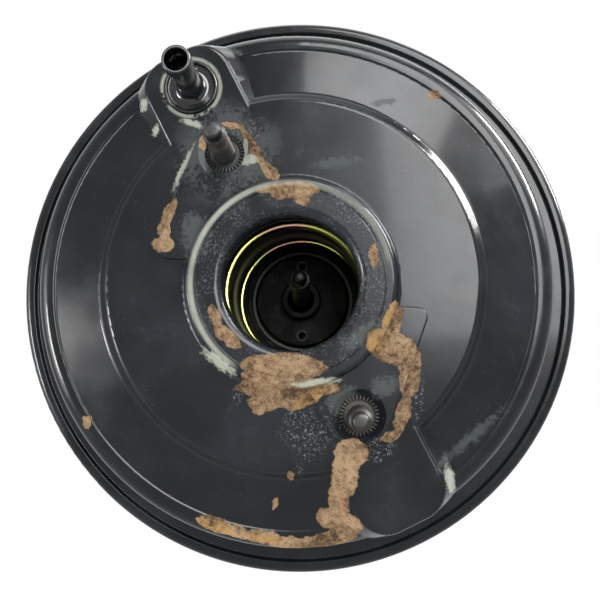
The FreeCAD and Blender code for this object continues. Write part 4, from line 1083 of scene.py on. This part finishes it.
class BuildStage(bpy.types.Operator):
    """Lay the pale floor, the soft lights and the camera"""
    bl_idname = "booster.build_stage"
    bl_label = "Build stage"

    def lamp(self, name, place, target, wide, high, power, sheen_only):
        light = bpy.data.lights.new(name, "AREA")
        light.shape = "RECTANGLE"
        light.size = wide
        light.size_y = high
        light.energy = power
        thing = bpy.data.objects.new(name, light)
        thing.visible_diffuse = not sheen_only
        thing.location = place
        thing.rotation_euler = (Vector(target) - Vector(place)).to_track_quat("-Z", "Y").to_euler()
        bpy.context.scene.collection.objects.link(thing)

    def lay_floor(self):
        """A pale floor that keeps the part's shadow and looks white to the camera and in reflections."""
        drop = -sizes().floor_drop
        corners = [(across * FLOOR_HALF / MM, along * FLOOR_HALF / MM, drop / MM)
                   for across, along in ((-1, -1), (1, -1), (1, 1), (-1, 1))]
        floor = placed("floor", corners, [(0, 1, 2, 3)])
        pale = Finish("pale_floor")
        mottle = pale.noise(3.0, 2, 0.5)
        shade = pale.mixed(mottle * 0.05, tuple(colours().floor), tint("#e6e6e6"))
        pale.set(Base_Color=shade, Roughness=0.6)
        far = pale.length(pale.place).between(0.5, 2.0)
        seen = ray(pale, "Is Camera Ray").most(ray(pale, "Is Glossy Ray")) * (0.85 + far * 0.15)
        glow = pale.node("ShaderNodeEmission")
        both = pale.node("ShaderNodeMixShader", None, {0: seen, 1: pale.lit, 2: glow})
        pale.give(pale.output, "Surface", both)
        dress(pale.material, floor)

    def light_world(self, scene):
        """A white surrounding for what is seen, and a softer one for what it lights."""
        world = bpy.data.worlds.new("studio")
        scene.world = world
        world.use_nodes = True
        sky = Layout(world.node_tree)
        background = [n for n in sky.tree.nodes if n.type == "BACKGROUND"][0]
        seen = ray(sky, "Is Camera Ray").most(ray(sky, "Is Glossy Ray")).most(ray(sky, "Is Transmission Ray"))
        sky.give(background, "Color", (1, 1, 1, 1))
        sky.give(background, "Strength", SOFT_WORLD + seen * (1 - SOFT_WORLD))

    def place_camera(self, scene):
        """The camera where the photograph was taken from."""
        camera = bpy.data.cameras.new("photo_camera")
        camera.lens = CAMERA_LENS
        camera.sensor_width = SENSOR_WIDTH
        thing = bpy.data.objects.new("photo_camera", camera)
        thing.location = CAMERA_PLACE
        thing.rotation_euler = CAMERA_TURN
        scene.collection.objects.link(thing)
        scene.camera = thing

    def execute(self, context):
        scene = bpy.context.scene
        self.lay_floor()
        self.light_world(scene)
        for name, values in LAMPS.items():
            self.lamp(name, *values)
        self.place_camera(scene)
        scene.view_settings.view_transform = "Standard"
        return {"FINISHED"}


PIECES = (
    PaintShells,
    FinishVacuumPipe,
    BuildMasterCylinderStuds,
    BuildFirewallStuds,
    BuildReturnSpring,
    BuildSmallSprings,
    BuildDustBoot,
    BuildDiaphragm,
    BuildInputRod,
    FinishInnerPieces,
    BuildStage,
)


class BoosterPanel(bpy.types.Panel):
    """Lists the booster's pieces, sizes and colours"""
    bl_idname = "VIEW3D_PT_booster"
    bl_label = "Brake booster"
    bl_space_type = "VIEW_3D"
    bl_region_type = "UI"
    bl_category = "Booster"

    def draw(self, context):
        for piece in PIECES:
            self.layout.operator(piece.bl_idname)
        for group in (context.scene.booster_sizes, context.scene.booster_colours):
            box = self.layout.box()
            for name in group.__annotations__:
                box.prop(group, name)


CLASSES = (BoosterSizes, BoosterColours) + PIECES + (BoosterPanel,)


def register():
    for kind in CLASSES:
        bpy.utils.register_class(kind)
    bpy.types.Scene.booster_sizes = bpy.props.PointerProperty(type=BoosterSizes)
    bpy.types.Scene.booster_colours = bpy.props.PointerProperty(type=BoosterColours)


def unregister():
    del bpy.types.Scene.booster_sizes
    del bpy.types.Scene.booster_colours
    for kind in reversed(CLASSES):
        bpy.utils.unregister_class(kind)


def main():
    register()
    for piece in PIECES:
        group, name = piece.bl_idname.split(".")
        getattr(getattr(bpy.ops, group), name)()


if __name__ == "__main__":
    main()
